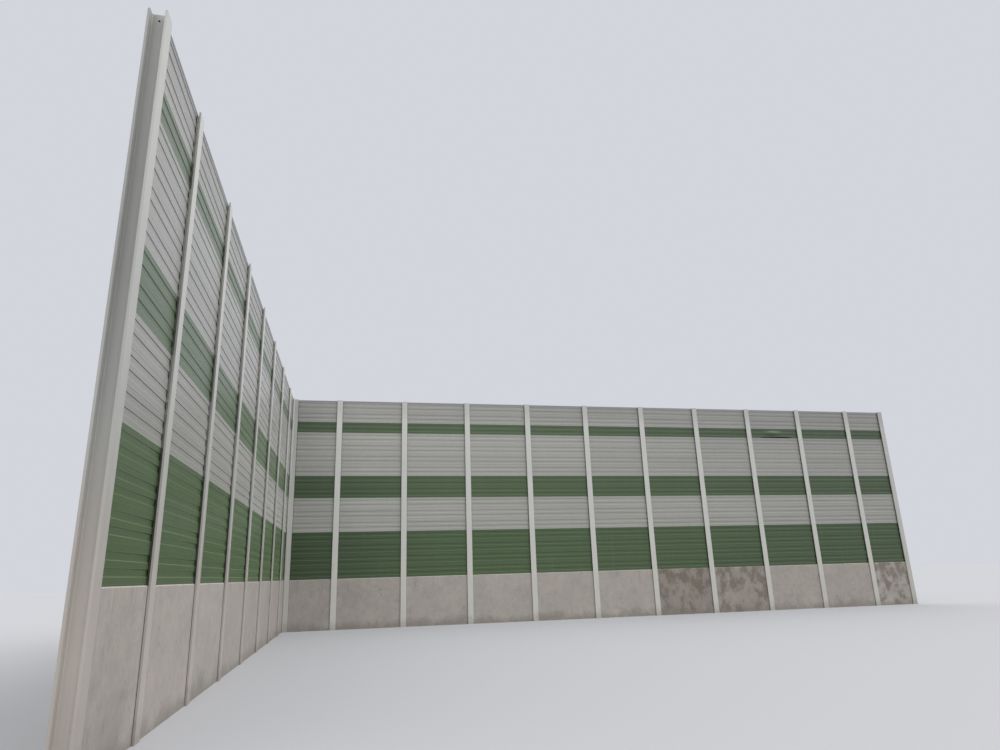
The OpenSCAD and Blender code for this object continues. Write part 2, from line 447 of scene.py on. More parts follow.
@dataclass(frozen=True)
class Finish:
    """What every finish has: a name, a base colour and the way to a finished material.

    Attributes:
        name: Name of the material.
        colour: Base colour in linear values.
        roughness: Roughness where it is clean.
        metallic: Share of bare metal.
        ior: Index of refraction of its skin.
        relief: Real height in metres that a height of 1 stands for, and how strongly it shows.
    """

    name: str
    colour: Colour
    _: KW_ONLY
    roughness: float = 0.5
    metallic: float = 0.0
    ior: float = 1.5
    relief: Pair = (0.0008, 0.5)

    def material(self) -> bpy.types.Material:
        """Builds the material.

        Returns:
            A node material with its surface linked to the output.
        """
        made = bpy.data.materials.new(self.name)
        made.use_nodes = True
        made.node_tree.nodes.clear()
        tree = Tree(made.node_tree)
        surface = self.surface(tree)
        tree.node("ShaderNodeOutputMaterial", inputs={"Surface": surface.outputs[0]})
        return made

    def surface(self, tree: Tree) -> bpy.types.Node:
        """Builds the shader; each finish has its own."""
        raise NotImplementedError

    def skin(self, tree: Tree, colour: Paint, roughness: Number, height: Value) -> bpy.types.Node:
        """Builds the shader from what changes over the surface.

        Args:
            tree: The material's tree.
            colour: Its colour.
            roughness: Its roughness.
            height: Its relief, from 0 to 1.

        Returns:
            The shader node.
        """
        inputs = {
            "Base Color": colour,
            "Roughness": roughness,
            "Metallic": self.metallic,
            "IOR": self.ior,
            "Normal": tree.bump(height, *self.relief),
        }
        return tree.node("ShaderNodeBsdfPrincipled", inputs=inputs)


# Colour of dust, which on the cassettes' ledges also serves as painted light.
DUST_AND_LIGHT = linear(158, 152, 142)
MUD = linear(112, 102, 92)


@dataclass(frozen=True)
class RunFinish(Finish):
    """A finish that knows where it lies on its run.

    Attributes:
        layout: The run that carries it.
        fade: Painted light and shade low down, as tone factors at the corner and at the free end.
        painted_light_high: The same high up.
        corner_shade: How much darker the painted shade makes it right in the corner, low down and high up.
        corner_shade_reach: Distance along the run at which that painted shade ends.
        end_grime: How much darker the bay at the free end is at its foot and above it.
        painted_light_heights: Heights between which the painted light goes from its low to its high value.
        corner_shade_heights: The same for the painted shade in the corner.
        foot_heights: The same for the darker last bay, from above down to its foot.
        end_reach: Distances from the free end between which the darker last bay sets in.
    """

    layout: RunLayout
    fade: Pair = (1.0, 1.0)
    painted_light_high: Pair = (1.0, 1.0)
    corner_shade: Pair = (0.0, 0.0)
    corner_shade_reach: float = 5.0
    _: KW_ONLY
    end_grime: Pair = (0.0, 0.0)
    painted_light_heights: Span = (4.0, 9.5)
    corner_shade_heights: Span = (4.0, 9.0)
    foot_heights: Span = (1.4, 0.4)
    end_reach: Span = (2.3, 1.2)

    def along(self, x: Value, y: Value) -> Value:
        """Distance along the run from its corner post."""
        start_x, start_y = self.layout.origin
        return x - start_x if self.layout.run is Run.LONG else start_y - y

    def across(self, x: Value, y: Value) -> Value:
        """Distance from the run's centre line towards the inner side."""
        line_x, line_y = self.layout.origin
        return line_y - y if self.layout.run is Run.LONG else x - line_x

    def sides(self, tree: Tree) -> tuple[Value, Value, Value]:
        """How far the surface faces the inner side, either end of the run, and up."""
        x, y, z = tree.facing()
        return (-y, x.absolute(), z) if self.layout.run is Run.LONG else (x, y.absolute(), z)

    def bay(self, along: Value) -> Value:
        """Whole number of the bay, the corner bay being -1."""
        return ((along - self.layout.corner_bay) / self.layout.full_bay).floor()

    def painted_light_shade_and_grime(self, tree: Tree, along: Value, z: Value) -> Value:
        """Tone of the painted light and shade along the run, of the painted shade in the corner and of the
        darker last bay.

        Args:
            tree: The material's tree.
            along: Distance along the run.
            z: Height.

        Returns:
            The tone, a factor round one.
        """
        length = self.layout.length()
        distance = tree.slope(along, 0.0, length)
        # Painted light and shade along the run, from the corner's tone to the free end's.
        low, high = (distance.between(*ends) for ends in (self.fade, self.painted_light_high))
        painted_light = tree.slope(z, *self.painted_light_heights).between(low, high)
        # Painted shade in the corner, where the two runs meet.
        corner = tree.slope(along, self.corner_shade_reach, 0.0)
        corner_shade = tree.slope(z, *self.corner_shade_heights).between(*self.corner_shade) * corner
        foot, above = self.end_grime
        far, near = self.end_reach
        last_bay = tree.slope(along, length - far, length - near)
        darkening = tree.slope(z, *self.foot_heights).between(above, foot) * last_bay
        return painted_light * (1.0 - corner_shade) * (1.0 - darkening)

    def from_post(self, tree: Tree, along: Value) -> Value:
        """Measures how far a place lies from the nearest post.

        Args:
            tree: The material's tree.
            along: Distance along the run.

        Returns:
            Distance to the centre of that post.
        """
        phase = (along - self.layout.corner_bay) / self.layout.full_bay + 0.5
        inside = (phase.fract() - 0.5).absolute() * self.layout.full_bay
        ends = tree.math("MINIMUM", along.absolute(), (along - self.layout.length()).absolute())
        return tree.math("MINIMUM", inside, ends)


@dataclass(frozen=True)
class SheetCoating(RunFinish):
    """Satin coating on the folded sheet of the cassettes, perforated on the inner side.

    Attributes:
        first_row: Height of the lowest joint between cassettes.
        row: Height of one cassette.
        fold: Height of one fold of the face.
        pitch: Distance between the holes.
        hole: Radius of a hole as a share of the pitch.
        hole_edge: Half the width of a hole's soft edge, as a share of the pitch.
        plain: Where the holes of a fold begin and end, as shares of its height.
        inner_face: How squarely a face has to look inwards to be perforated.
        hole_shade: How much darker a hole is than the coating.
        hole_depth: Depth of a hole in the relief.
        ledge: How far up a face looks where dust and painted light begin to lie and where they lie in full.
        ledge_dust_and_light: Share of dust on such a ledge, which also stands in for painted light on it.
        streaks: Strengths of the rain streaks between which they leave dust.
        streak_dust: Share of dust in a streak.
        underside: How far down a face looks where the painted shade under the folds begins and where it is
            full.
        under_shade: How much darker the painted shade makes a fold's underside, low down and high up.
        under_heights: Heights between which that changes.
        post_shade: How much darker the painted shade makes the coating right beside a post.
        post_reach: Distances from the post's centre between which that sets in.
        top_shade: How much darker it is under the capping.
        top_heights: Heights between which that sets in.
        chalk_and_sheen: How much chalking and a painted sheen lighten it, low down and high up.
        chalk_and_sheen_heights: Heights between which that changes.
        chalk_and_sheen_clouds: Factor on that lightening where the clouds are weakest and strongest.
        chalk_and_sheen_colour: Colour of chalked coating and of the painted sheen.
        clean: Tone of the coating before the patterns.
        piece_tone: How much the tone changes from cassette to cassette.
        piece_draw: Number that sets that draw apart from others.
        cloud: Large soft clouds.
        streak: Rain streaks.
        grain: Grain of the coating.
        wave: Waves of the sheet.
        dusty: How much rougher dust or a hole makes it.
    """

    _: KW_ONLY
    first_row: float = 2.108
    row: float = 0.5
    fold: float = 0.1
    pitch: float = 0.008
    hole: float = 0.3
    hole_edge: float = 0.08
    plain: Span = (0.2, 0.9)
    inner_face: float = 0.9
    hole_shade: float = 0.38
    hole_depth: float = 0.5
    ledge: Span = (0.2, 0.7)
    ledge_dust_and_light: float = 0.22
    streaks: Span = (0.62, 0.85)
    streak_dust: float = 0.10
    underside: Span = (-0.2, -0.6)
    under_shade: Pair = (0.52, 0.20)
    under_heights: Span = (3.0, 8.0)
    post_shade: float = 0.45
    post_reach: Span = (0.165, 0.130)
    top_shade: float = 0.13
    top_heights: Span = (8.8, 10.0)
    chalk_and_sheen: Pair = (0.0, 0.04)
    chalk_and_sheen_heights: Span = (3.6, 8.5)
    chalk_and_sheen_clouds: Pair = (0.7, 1.3)
    chalk_and_sheen_colour: Colour = linear(177, 180, 180)
    clean: float = 0.955
    piece_tone: float = 0.08
    piece_draw: float = 3.0
    cloud: Pattern = Pattern(0.7, 4.0, 0.6, tone=0.10, sheen=0.10)
    streak: Pattern = Pattern(1.0, 3.0, stretch=(9.0, 9.0, 0.35), tone=0.07)
    grain: Pattern = Pattern(420.0, 1.0, tone=0.02, height=0.12)
    wave: Pattern = Pattern(2.2, height=0.6)
    dusty: float = 0.2
    roughness: float = 0.32
    ior: float = 1.6

    def holes(self, tree: Tree, along: Value, height: Value) -> Value:
        """Lays out the perforations, in staggered rows between the folds.

        Args:
            tree: The material's tree.
            along: Distance along the run.
            height: Height above the ground.

        Returns:
            One inside a hole, nought outside.
        """
        rise = self.pitch * math.sqrt(3) / 2
        level = height / rise
        odd = (level.floor() * 0.5).fract()
        across = (along / self.pitch + odd).fract() - 0.5
        up = (level.fract() - 0.5) * (math.sqrt(3) / 2)
        distance = tree.math("SQRT", across * across + up * up)
        in_fold = ((height - self.first_row) / self.fold).fract()
        first, last = self.plain
        field_mask = (in_fold > first) * (in_fold < last)
        return tree.slope(distance, self.hole + self.hole_edge, self.hole - self.hole_edge) * field_mask

    def surface(self, tree: Tree) -> bpy.types.Node:
        """Coating, perforations, dust and painted light on the ledges, painted shade below them and beside
        the posts, chalking and a painted sheen higher up, and faint rain streaks.

        Args:
            tree: The material's tree.

        Returns:
            The shader node.
        """
        at = tree.point()
        x, y, z = tree.axes(at)
        along = self.along(x, y)
        inward, _, up = self.sides(tree)
        piece = tree.lottery(self.bay(along), ((z - self.first_row) / self.row).floor(), self.piece_draw)
        holes = self.holes(tree, along, z) * (inward > self.inner_face)
        patterns = (self.cloud, self.streak, self.grain)
        cloud, streak, grain = noises = [tree.noise(at, pattern) for pattern in patterns]
        ledge = tree.slope(up, *self.ledge)
        # Painted shade under the folds: faces that look down are darker, more so low down.
        under = tree.slope(z, *self.under_heights).between(*self.under_shade)
        under = tree.slope(up, *self.underside) * under
        # Painted shade of the post's flange on the coating beside it.
        beside = tree.slope(self.from_post(tree, along), *self.post_reach) * self.post_shade
        roof = tree.slope(z, *self.top_heights) * self.top_shade
        tone = varied(self.clean + piece * self.piece_tone, noises, patterns)
        shade = (1.0 - under) * (1.0 - beside) * (1.0 - roof) * (1.0 - holes * self.hole_shade)
        # Chalking and a painted sheen lighten the coating higher up.
        chalk_and_sheen = tree.slope(z, *self.chalk_and_sheen_heights).between(*self.chalk_and_sheen) * cloud.between(*self.chalk_and_sheen_clouds)
        coat = tree.mix(chalk_and_sheen, self.colour, self.chalk_and_sheen_colour)
        # Painted light and shade along the run and painted shade in the corner.
        coat = tree.toned(coat, tone * shade * self.painted_light_shade_and_grime(tree, along, z))
        # Dust on the ledges, which also serves as painted light on them, and dust in the rain streaks.
        dust = ledge * self.ledge_dust_and_light + tree.slope(streak, *self.streaks) * self.streak_dust
        coat = tree.mix(dust, coat, DUST_AND_LIGHT)
        height = grain * self.grain.height - holes * self.hole_depth
        height = height + tree.noise(at, self.wave) * self.wave.height
        roughness = self.roughness + cloud.swing(self.cloud.sheen) + ledge * self.dusty + holes * self.dusty
        return self.skin(tree, coat, roughness, height)


@dataclass(frozen=True)
class PostPaint(RunFinish):
    """Matt light grey paint on rolled steel, with splashes at the foot and small knocks.

    Attributes:
        pocket: Half width of the channels between the flanges.
        pocket_edge: Distances past the pocket's edge between which its tone sets in.
        channel_light_and_shade: Painted light and shade in the channels, low down and high up.
        channel_heights: Heights between which that changes.
        outer_shade: How much darker the outer side of a channel is than its inner side.
        outer_side: Distances from the centre line between which that sets in, inner side first.
        outer_share: Share of that shade low down and high up.
        outer_heights: Heights between which that share changes.
        edge_facing: How squarely a face looks along the run where an edge begins and is whole.
        rim_shade: How much darker the flanges' edges beside the cassettes are higher up.
        rim_heights: Heights between which that sets in.
        rim_reach: Distances from the corner between which that sets in.
        end_margin: Distance from the free end within which the end post stands.
        end_shade: How much darker the faces of the end post are.
        highlight_tone: How much lighter the painted highlight makes that post's edges low down.
        highlight_heights: Heights between which that sets in, from above.
        back_shade: How much darker the edges of its outer flange are high up.
        back_side: Distances from the centre line between which that sets in.
        back_heights: Heights between which that sets in.
        low_shade: How much darker the lower part is.
        low_heights: Heights between which that sets in, from above.
        top_shade: How much darker the tops of the posts are.
        top_heights: Heights between which that sets in.
        splash: Height up to which the ground's dirt has splashed.
        splash_edge: How ragged the splashes' upper edge is.
        splash_share: Share of mud in the splashes.
        splash_sheen: How much rougher the mud is.
        high_colour: Colour of the upper part, which stays free of dust.
        high_heights: Heights between which that colour sets in.
        primer: Colour that shows in a knock.
        knocks: Where the knocks are.
        knock_patch: Strength of the blotches above which knocks show.
        knock_share: Share of primer in a knock.
        knock_sheen: How much rougher the primer is.
        cloud: Large soft clouds.
        streak: Rain streaks.
        peel: Orange peel of the paint.
        blotch: Blotches that rough up the splashes and the paint.
    """

    _: KW_ONLY
    pocket: float = 0.103
    pocket_edge: Span = (0.002, -0.001)
    channel_light_and_shade: Pair = (1.0, 0.8)
    channel_heights: Span = (0.5, 8.0)
    outer_shade: float = 0.36
    outer_side: Span = (0.10, -0.12)
    outer_share: Pair = (0.45, 1.0)
    outer_heights: Span = (1.0, 7.0)
    edge_facing: Span = (0.5, 0.95)
    rim_shade: float = 0.0
    rim_heights: Span = (4.0, 6.0)
    rim_reach: Span = (2.0, 12.0)
    end_margin: float = 0.3
    end_shade: float = 0.0
    highlight_tone: float = 0.12
    highlight_heights: Span = (6.0, 2.0)
    back_shade: float = 0.28
    back_side: Span = (-0.09, -0.11)
    back_heights: Span = (4.0, 7.0)
    low_shade: float = 0.0
    low_heights: Span = (10.0, 2.5)
    top_shade: float = 0.0
    top_heights: Span = (9.0, 9.8)
    splash: float = 0.5
    splash_edge: float = 0.8
    splash_share: float = 0.35
    splash_sheen: float = 0.4
    high_colour: Colour = linear(207, 208, 205)
    high_heights: Span = (1.8, 4.4)
    primer: Colour = linear(140, 134, 126)
    knocks: Spots = Spots(5.0, (0.05, 0.02), 0.86)
    knock_patch: float = 0.45
    knock_share: float = 0.8
    knock_sheen: float = 0.2
    cloud: Pattern = Pattern(0.9, 4.0, 0.6, tone=0.12, sheen=0.15)
    streak: Pattern = Pattern(1.0, 3.0, stretch=(22.0, 22.0, 0.5), tone=0.12)
    peel: Pattern = Pattern(260.0, tone=0.03, height=0.25)
    blotch: Pattern = Pattern(6.0, 5.0, 0.65, height=0.2)
    relief: Pair = (0.0008, 0.6)

    def channel(self, tree: Tree, across: Value, z: Value) -> Value:
        """Painted light and shade inside the channels between the flanges.

        Args:
            tree: The material's tree.
            across: Distance from the centre line towards the inner side.
            z: Height.

        Returns:
            The tone, a factor round one.
        """
        # Painted light and shade in the channels, changing with height.
        tone = tree.slope(z, *self.channel_heights).between(*self.channel_light_and_shade)
        # Darker towards the outer flange, more so high up.
        darkening = tree.slope(z, *self.outer_heights).between(*self.outer_share)
        darkening = tree.slope(across, *self.outer_side) * darkening
        return tone * (1.0 - darkening * self.outer_shade)

    def face(self, tree: Tree, along: Value, across: Value, z: Value) -> Value:
        """Tone of the flanges' faces and edges, with a painted highlight on the end post's edges.

        Args:
            tree: The material's tree.
            along: Distance along the run.
            across: Distance from the centre line towards the inner side.
            z: Height.

        Returns:
            The tone, a factor round one.
        """
        _, lengthwise, _ = self.sides(tree)
        free = along > self.layout.length() - self.end_margin
        edge = tree.slope(lengthwise, *self.edge_facing)
        # Painted highlight along the end post's flange edges low down.
        painted_highlight = edge * free * tree.slope(z, *self.highlight_heights) * self.highlight_tone
        back = tree.slope(across, *self.back_side)
        back = edge * free * back * tree.slope(z, *self.back_heights) * self.back_shade
        rim = edge * tree.slope(z, *self.rim_heights) * tree.slope(along, *self.rim_reach)
        rim = rim * (1.0 - free) * self.rim_shade
        return (1.0 - rim) * (1.0 - back) * (1.0 + painted_highlight - free * self.end_shade)

    def shade(self, tree: Tree, x: Value, y: Value, z: Value) -> Value:
        """Tone of faces, channels and edges by height, with painted light and shade in the channels and along
        the run, painted shade in the corner, a painted highlight on the end post's edges, and a darker lower
        part and top.

        Args:
            tree: The material's tree.
            x: First coordinate of the place.
            y: Second coordinate of the place.
            z: Height.

        Returns:
            The tone, a factor round one.
        """
        along, across = self.along(x, y), self.across(x, y)
        inside = tree.slope(across.absolute(), *(self.pocket + past for past in self.pocket_edge))
        tone = inside.between(self.face(tree, along, across, z), self.channel(tree, across, z))
        # Darker towards the bottom and at the tops of the posts.
        dust = 1.0 - tree.slope(z, *self.low_heights) * self.low_shade
        dust = dust * (1.0 - tree.slope(z, *self.top_heights) * self.top_shade)
        # Painted light and shade along the run and painted shade in the corner.
        return dust * tone * self.painted_light_shade_and_grime(tree, along, z)

    def surface(self, tree: Tree) -> bpy.types.Node:
        """Paint, rain streaks, splashes and knocks.

        Args:
            tree: The material's tree.

        Returns:
            The shader node.
        """
        at = tree.point()
        x, y, z = tree.axes(at)
        patterns = (self.cloud, self.streak, self.peel)
        cloud, _, peel = noises = [tree.noise(at, pattern) for pattern in patterns]
        blotch = tree.noise(at, self.blotch)
        tone = varied(1.0, noises, patterns)
        coat = tree.mix(tree.slope(z, *self.high_heights), self.colour, self.high_colour)
        coat = tree.toned(coat, tone * self.shade(tree, x, y, z))
        splash = tree.slope(z + blotch.swing(self.splash_edge), self.splash, 0.0) * self.splash_share
        coat = tree.mix(splash, coat, MUD)
        knock = tree.spots(at, self.knocks) * (blotch > self.knock_patch)
        coat = tree.mix(knock * self.knock_share, coat, self.primer)
        roughness = self.roughness + cloud.swing(self.cloud.sheen)
        roughness = roughness + splash * self.splash_sheen + knock * self.knock_sheen
        height = peel * self.peel.height + blotch * self.blotch.height - knock
        return self.skin(tree, coat, roughness, height)


@dataclass(frozen=True)
class BlotchedStretch:
    """A stretch of the run whose concrete panels are blotched.

    Attributes:
        start: Where it begins, from the corner post.
        stop: Where it ends.
        even: Share of the blotches' colour all over.
        patched: Its further share where the patches lie.
    """

    start: float
    stop: float
    even: float
    patched: float


@dataclass(frozen=True)
class PrecastConcrete(RunFinish):
    """Smooth precast concrete with patches, air holes, faint runs and a slightly damp foot.

    Attributes:
        blotched: Stretches whose panels are blotched.
        blotch: Noise of the blotches, and where they set in.
        blotch_mottle: How much of that noise is the fine mottle.
        blotch_rise: How much stronger the blotches get upwards.
        blotch_heights: Heights between which they do.
        blotch_colour: Colour of the blotches.
        patch: Greyer patches of the cement skin.
        patch_share: Share of their colour on the panels with the weakest and the strongest ones.
        cool_colour: Colour of those patches.
        smudge: Soft smudges.
        mark: Small dark marks.
        drip: Runs below the panels' upper edge.
        drip_heights: Heights between which the runs set in.
        drip_edge: How ragged their lower ends are.
        post_shade: How much darker the painted shade makes the concrete right beside a post.
        post_reach: Distances from the post's centre between which that sets in.
        ledge: How far up a face looks where the painted light on it begins and where it is full.
        top_light_tone: How much lighter the painted light makes such a face.
        damp: Height up to which the damp rises.
        damp_edge: How ragged its upper edge is, by the clouds and by the mottle.
        damp_share: Share of the damp colour.
        damp_sheen: How much smoother the damp makes the concrete look.
        damp_colour: Colour of damp concrete.
        air_holes: Small air holes.
        pits: Larger and fewer holes.
        hole_shade: How much darker a hole is.
        clean: Tone of the concrete before the patterns.
        panel_tone: How much the tone changes from panel to panel.
        panel_draw: Numbers that set that draw apart from others.
        cloud: Large soft clouds.
        mottle: Fine mottle.
        sand: Grains of sand.
    """

    _: KW_ONLY
    blotched: tuple[BlotchedStretch, ...] = ()
    blotch: Stain = Stain(Pattern(1.0, 5.0, 0.66, (2.6, 2.6, 2.0)), (0.47, 0.61))
    blotch_mottle: float = 0.2
    blotch_rise: float = 0.05
    blotch_heights: Span = (0.7, 1.6)
    blotch_colour: Colour = linear(98, 88, 75)
    patch: Stain = Stain(Pattern(1.0, 6.0, 0.66, (1.3, 1.3, 1.1)), (0.42, 0.60))
    patch_share: Pair = (0.2, 0.7)
    cool_colour: Colour = linear(165, 162, 158)
    smudge: Stain = Stain(Pattern(1.0, 6.0, 0.7, (5.5, 5.5, 2.4)), (0.56, 0.72), 0.20)
    mark: Stain = Stain(Pattern(1.0, 3.0, 0.6, (17.0, 17.0, 8.0)), (0.62, 0.72), 0.24)
    drip: Stain = Stain(Pattern(1.0, 4.0, 0.66, (6.5, 6.5, 0.3)), (0.58, 0.70), 0.22)
    drip_heights: Span = (1.1, 2.1)
    drip_edge: float = 1.2
    post_shade: float = 0.25
    post_reach: Span = (0.16, 0.125)
    ledge: Span = (0.3, 0.8)
    top_light_tone: float = 0.2
    damp: float = 0.4
    damp_edge: Pair = (0.8, 0.3)
    damp_share: float = 0.55
    damp_sheen: float = 0.2
    damp_colour: Colour = linear(120, 114, 106)
    air_holes: Spots = Spots(26.0, (0.11, 0.06), 0.84)
    pits: Spots = Spots(7.0, (0.10, 0.05), 0.72)
    hole_shade: float = 0.5
    clean: float = 0.975
    panel_tone: float = 0.05
    panel_draw: Pair = (7.0, 1.0)
    cloud: Pattern = Pattern(0.9, 4.0, 0.6, tone=0.30)
    mottle: Pattern = Pattern(4.5, 6.0, 0.68, tone=0.42, sheen=0.1, height=0.2)
    sand: Pattern = Pattern(190.0, tone=0.12, height=0.12)
    roughness: float = 0.82
    ior: float = 1.45
    relief: Pair = (0.0022, 0.7)

    def blotching(
        self, tree: Tree, at: bpy.types.NodeSocket, mottle: Value, along: Value, z: Value
    ) -> Number:
        """Finds how much of the blotches' colour lies at a place.

        Args:
            tree: The material's tree.
            at: The place.
            mottle: The fine mottle there.
            along: Distance along the run.
            z: Height.

        Returns:
            The share of that colour.
        """
        noise = tree.noise(at, self.blotch.pattern) * (1.0 - self.blotch_mottle) + mottle * self.blotch_mottle
        noise = noise + tree.slope(z, *self.blotch_heights) * self.blotch_rise
        patches = tree.slope(noise, *self.blotch.marks)
        share: Number = 0.0
        for stretch in self.blotched:
            inside = (along > stretch.start) * (along < stretch.stop)
            share = inside * (patches * stretch.patched + stretch.even) + share
        return share

    def stains(self, tree: Tree, at: bpy.types.NodeSocket, mottle: Value, z: Value) -> Value:
        """Adds up the smudges, the marks and the runs.

        Args:
            tree: The material's tree.
            at: The place.
            mottle: The fine mottle there.
            z: Height.

        Returns:
            How much darker they make it.
        """
        smudge, mark, drip = (tree.stain(at, stain) for stain in (self.smudge, self.mark, self.drip))
        drip = drip * tree.slope(z + mottle.swing(self.drip_edge), *self.drip_heights)
        return smudge * self.smudge.share + mark * self.mark.share + drip * self.drip.share

    def surface(self, tree: Tree) -> bpy.types.Node:
        """Cement skin, patches, runs, air holes, damp, painted shade beside the posts and painted light on
        faces that look up.

        Args:
            tree: The material's tree.

        Returns:
            The shader node.
        """
        at = tree.point()
        x, y, z = tree.axes(at)
        along = self.along(x, y)
        _, _, up = self.sides(tree)
        panel = tree.lottery(self.bay(along), *self.panel_draw)
        patterns = (self.cloud, self.mottle, self.sand)
        cloud, mottle, sand = noises = [tree.noise(at, pattern) for pattern in patterns]
        patch = tree.stain(at, self.patch) * panel.between(*self.patch_share)
        skin = tree.mix(patch, self.colour, self.cool_colour)
        # Painted shade of the post's flange on the concrete beside it.
        beside = tree.slope(self.from_post(tree, along), *self.post_reach)
        tone = varied(self.clean + panel * self.panel_tone, noises, patterns)
        tone = tone * (1.0 - self.stains(tree, at, mottle, z)) * (1.0 - beside * self.post_shade)
        # Painted light on faces that look up.
        tone = tone * (1.0 + tree.slope(up, *self.ledge) * self.top_light_tone)
        # Painted light and shade along the run and painted shade in the corner.
        skin = tree.toned(skin, tone * self.painted_light_shade_and_grime(tree, along, z))
        skin = tree.mix(self.blotching(tree, at, mottle, along, z), skin, self.blotch_colour)
        coarse, fine = self.damp_edge
        rising = tree.slope(z + cloud.swing(coarse) + mottle.swing(fine), self.damp, 0.0)
        skin = tree.mix(rising * self.damp_share, skin, self.damp_colour)
        hole = tree.math("MAXIMUM", tree.spots(at, self.air_holes), tree.spots(at, self.pits))
        skin = tree.toned(skin, 1.0 - hole * self.hole_shade)
        roughness = self.roughness - rising * self.damp_sheen + mottle.swing(self.mottle.sheen)
        height = mottle * self.mottle.height + sand * self.sand.height - hole
        return self.skin(tree, skin, roughness, height)


@dataclass(frozen=True)
class SealRubber(Finish):
    """Black sealing rubber with dust in its pores, lighter higher up, and with painted light beside the grey
    cassettes.

    Attributes:
        dust: Dust in the pores.
        grain: Grain of the rubber.
        grain_tones: Tone at the bottom and at the top of the grain.
        lighter_higher_up: How much lighter it is higher up.
        lighter_heights: Heights between which that sets in.
        grey_bounce_light: How much lighter the painted light thrown by the grey cassettes makes it beside
            them.
        grey_bands: Heights of the foot and the top of each grey band.
    """

    _: KW_ONLY
    dust: Stain = Stain(Pattern(14.0, 4.0, 0.6, sheen=0.2), (0.5, 0.9), 0.35)
    grain: Pattern = Pattern(500.0, 1.0)
    grain_tones: Pair = (0.9, 1.1)
    lighter_higher_up: float = 0.8
    lighter_heights: Span = (3.5, 6.0)
    grey_bounce_light: float = 1.6
    grey_bands: tuple[Span, ...] = ((4.108, 5.608), (6.608, 8.608), (9.108, 10.2))
    roughness: float = 0.72
    relief: Pair = (0.0004, 0.5)

    def surface(self, tree: Tree) -> bpy.types.Node:
        """Rubber with its grain and dust.

        Args:
            tree: The material's tree.

        Returns:
            The shader node.
        """
        at = tree.point()
        _, _, z = tree.axes(at)
        dust, grain = tree.noise(at, self.dust.pattern), tree.noise(at, self.grain)
        coat = tree.mix(tree.slope(dust, *self.dust.marks) * self.dust.share, self.colour, DUST_AND_LIGHT)
        beside_grey = sum((z > foot) * (z < top) for foot, top in self.grey_bands)
        tone = grain.between(*self.grain_tones) * (1.0 + tree.slope(z, *self.lighter_heights) * self.lighter_higher_up)
        # Painted light that the grey cassettes throw onto the rubber beside them.
        tone = tone * (1.0 + beside_grey * self.grey_bounce_light)
        roughness = self.roughness + dust.swing(self.dust.pattern.sheen)
        return self.skin(tree, tree.toned(coat, tone), roughness, grain)


@dataclass(frozen=True)
class DullSheet(Finish):
    """Weathered aluminium sheet and fasteners, with drawing lines and dull spots.

    Attributes:
        clean: Tone of the sheet where no cloud lies.
        cloud: Soft clouds.
        lines: Drawing lines.
        spots: White spots of weathering.
        spot_tone: How much lighter such a spot is.
        spot_sheen: How much rougher it is.
    """

    _: KW_ONLY
    clean: float = 0.92
    cloud: Pattern = Pattern(3.5, 5.0, 0.6, tone=0.16, sheen=0.2)
    lines: Pattern = Pattern(1.0, 1.0, stretch=(4.0, 4.0, 900.0), tone=0.08)
    spots: Spots = Spots(40.0, (0.3, 0.1), 0.7)
    spot_tone: float = 0.10
    spot_sheen: float = 0.15
    roughness: float = 0.42
    metallic: float = 0.75
    relief: Pair = (0.0002, 0.4)

    def surface(self, tree: Tree) -> bpy.types.Node:
        """Drawing lines, clouds and white spots of weathering.

        Args:
            tree: The material's tree.

        Returns:
            The shader node.
        """
        at = tree.point()
        cloud, lines = tree.noise(at, self.cloud), tree.noise(at, self.lines)
        spot = tree.spots(at, self.spots)
        tone = self.clean + cloud * self.cloud.tone + lines.swing(self.lines.tone) + spot * self.spot_tone
        roughness = self.roughness + cloud * self.cloud.sheen + spot * self.spot_sheen
        return self.skin(tree, tree.toned(self.colour, tone), roughness, lines)


@dataclass(frozen=True)
class Fleece(Finish):
    """Black glass fleece on the absorber behind the perforated sheet.

    Attributes:
        fibres: The matted fibres.
        fibre_tones: Tone between the fibres and on them.
        dust: Dust on them.
    """

    _: KW_ONLY
    fibres: Pattern = Pattern(350.0, 3.0, 0.7, (1.0, 1.0, 2.5))
    fibre_tones: Pair = (0.7, 1.3)
    dust: Stain = Stain(Pattern(11.0, 4.0, 0.6), (0.55, 0.9), 0.15)
    roughness: float = 0.95
    relief: Pair = (0.0008, 0.8)

    def surface(self, tree: Tree) -> bpy.types.Node:
        """Matted fibres with a little dust.

        Args:
            tree: The material's tree.

        Returns:
            The shader node.
        """
        at = tree.point()
        fibres = tree.noise(at, self.fibres)
        coat = tree.mix(tree.stain(at, self.dust) * self.dust.share, self.colour, DUST_AND_LIGHT)
        return self.skin(tree, tree.toned(coat, fibres.between(*self.fibre_tones)), self.roughness, fibres)


@dataclass(frozen=True)
class StudioFloor(Finish):
    """Plain pale floor that keeps the object's shadow and throws only a little light back onto it.

    Attributes:
        bounce: Colour of the light that it throws back.
        shine: Strength of its mirror light.
    """

    bounce: Colour
    _: KW_ONLY
    shine: float = 0.1
    roughness: float = 0.95

    def surface(self, tree: Tree) -> bpy.types.Node:
        """A plain rough surface, pale where it is seen.

        Args:
            tree: The material's tree.

        Returns:
            The shader node.
        """
        seen, unseen = (
            tree.node(
                "ShaderNodeBsdfPrincipled",
                inputs={"Base Color": colour, "Roughness": self.roughness, "Specular IOR Level": self.shine},
            )
            for colour in (self.colour, self.bounce)
        )
        inputs = {0: tree.backdrop_rays(), 1: unseen.outputs[0], 2: seen.outputs[0]}
        return tree.node("ShaderNodeMixShader", inputs=inputs)


def dress(node: str, finish: bpy.types.Material) -> None:
    """Gives a CAD node its finish.

    Args:
        node: Name of the node.
        finish: The material.
    """
    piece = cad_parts[node]
    if not piece.material_slots:
        piece.data.materials.append(finish)
    for holder in piece.material_slots:
        holder.material = finish


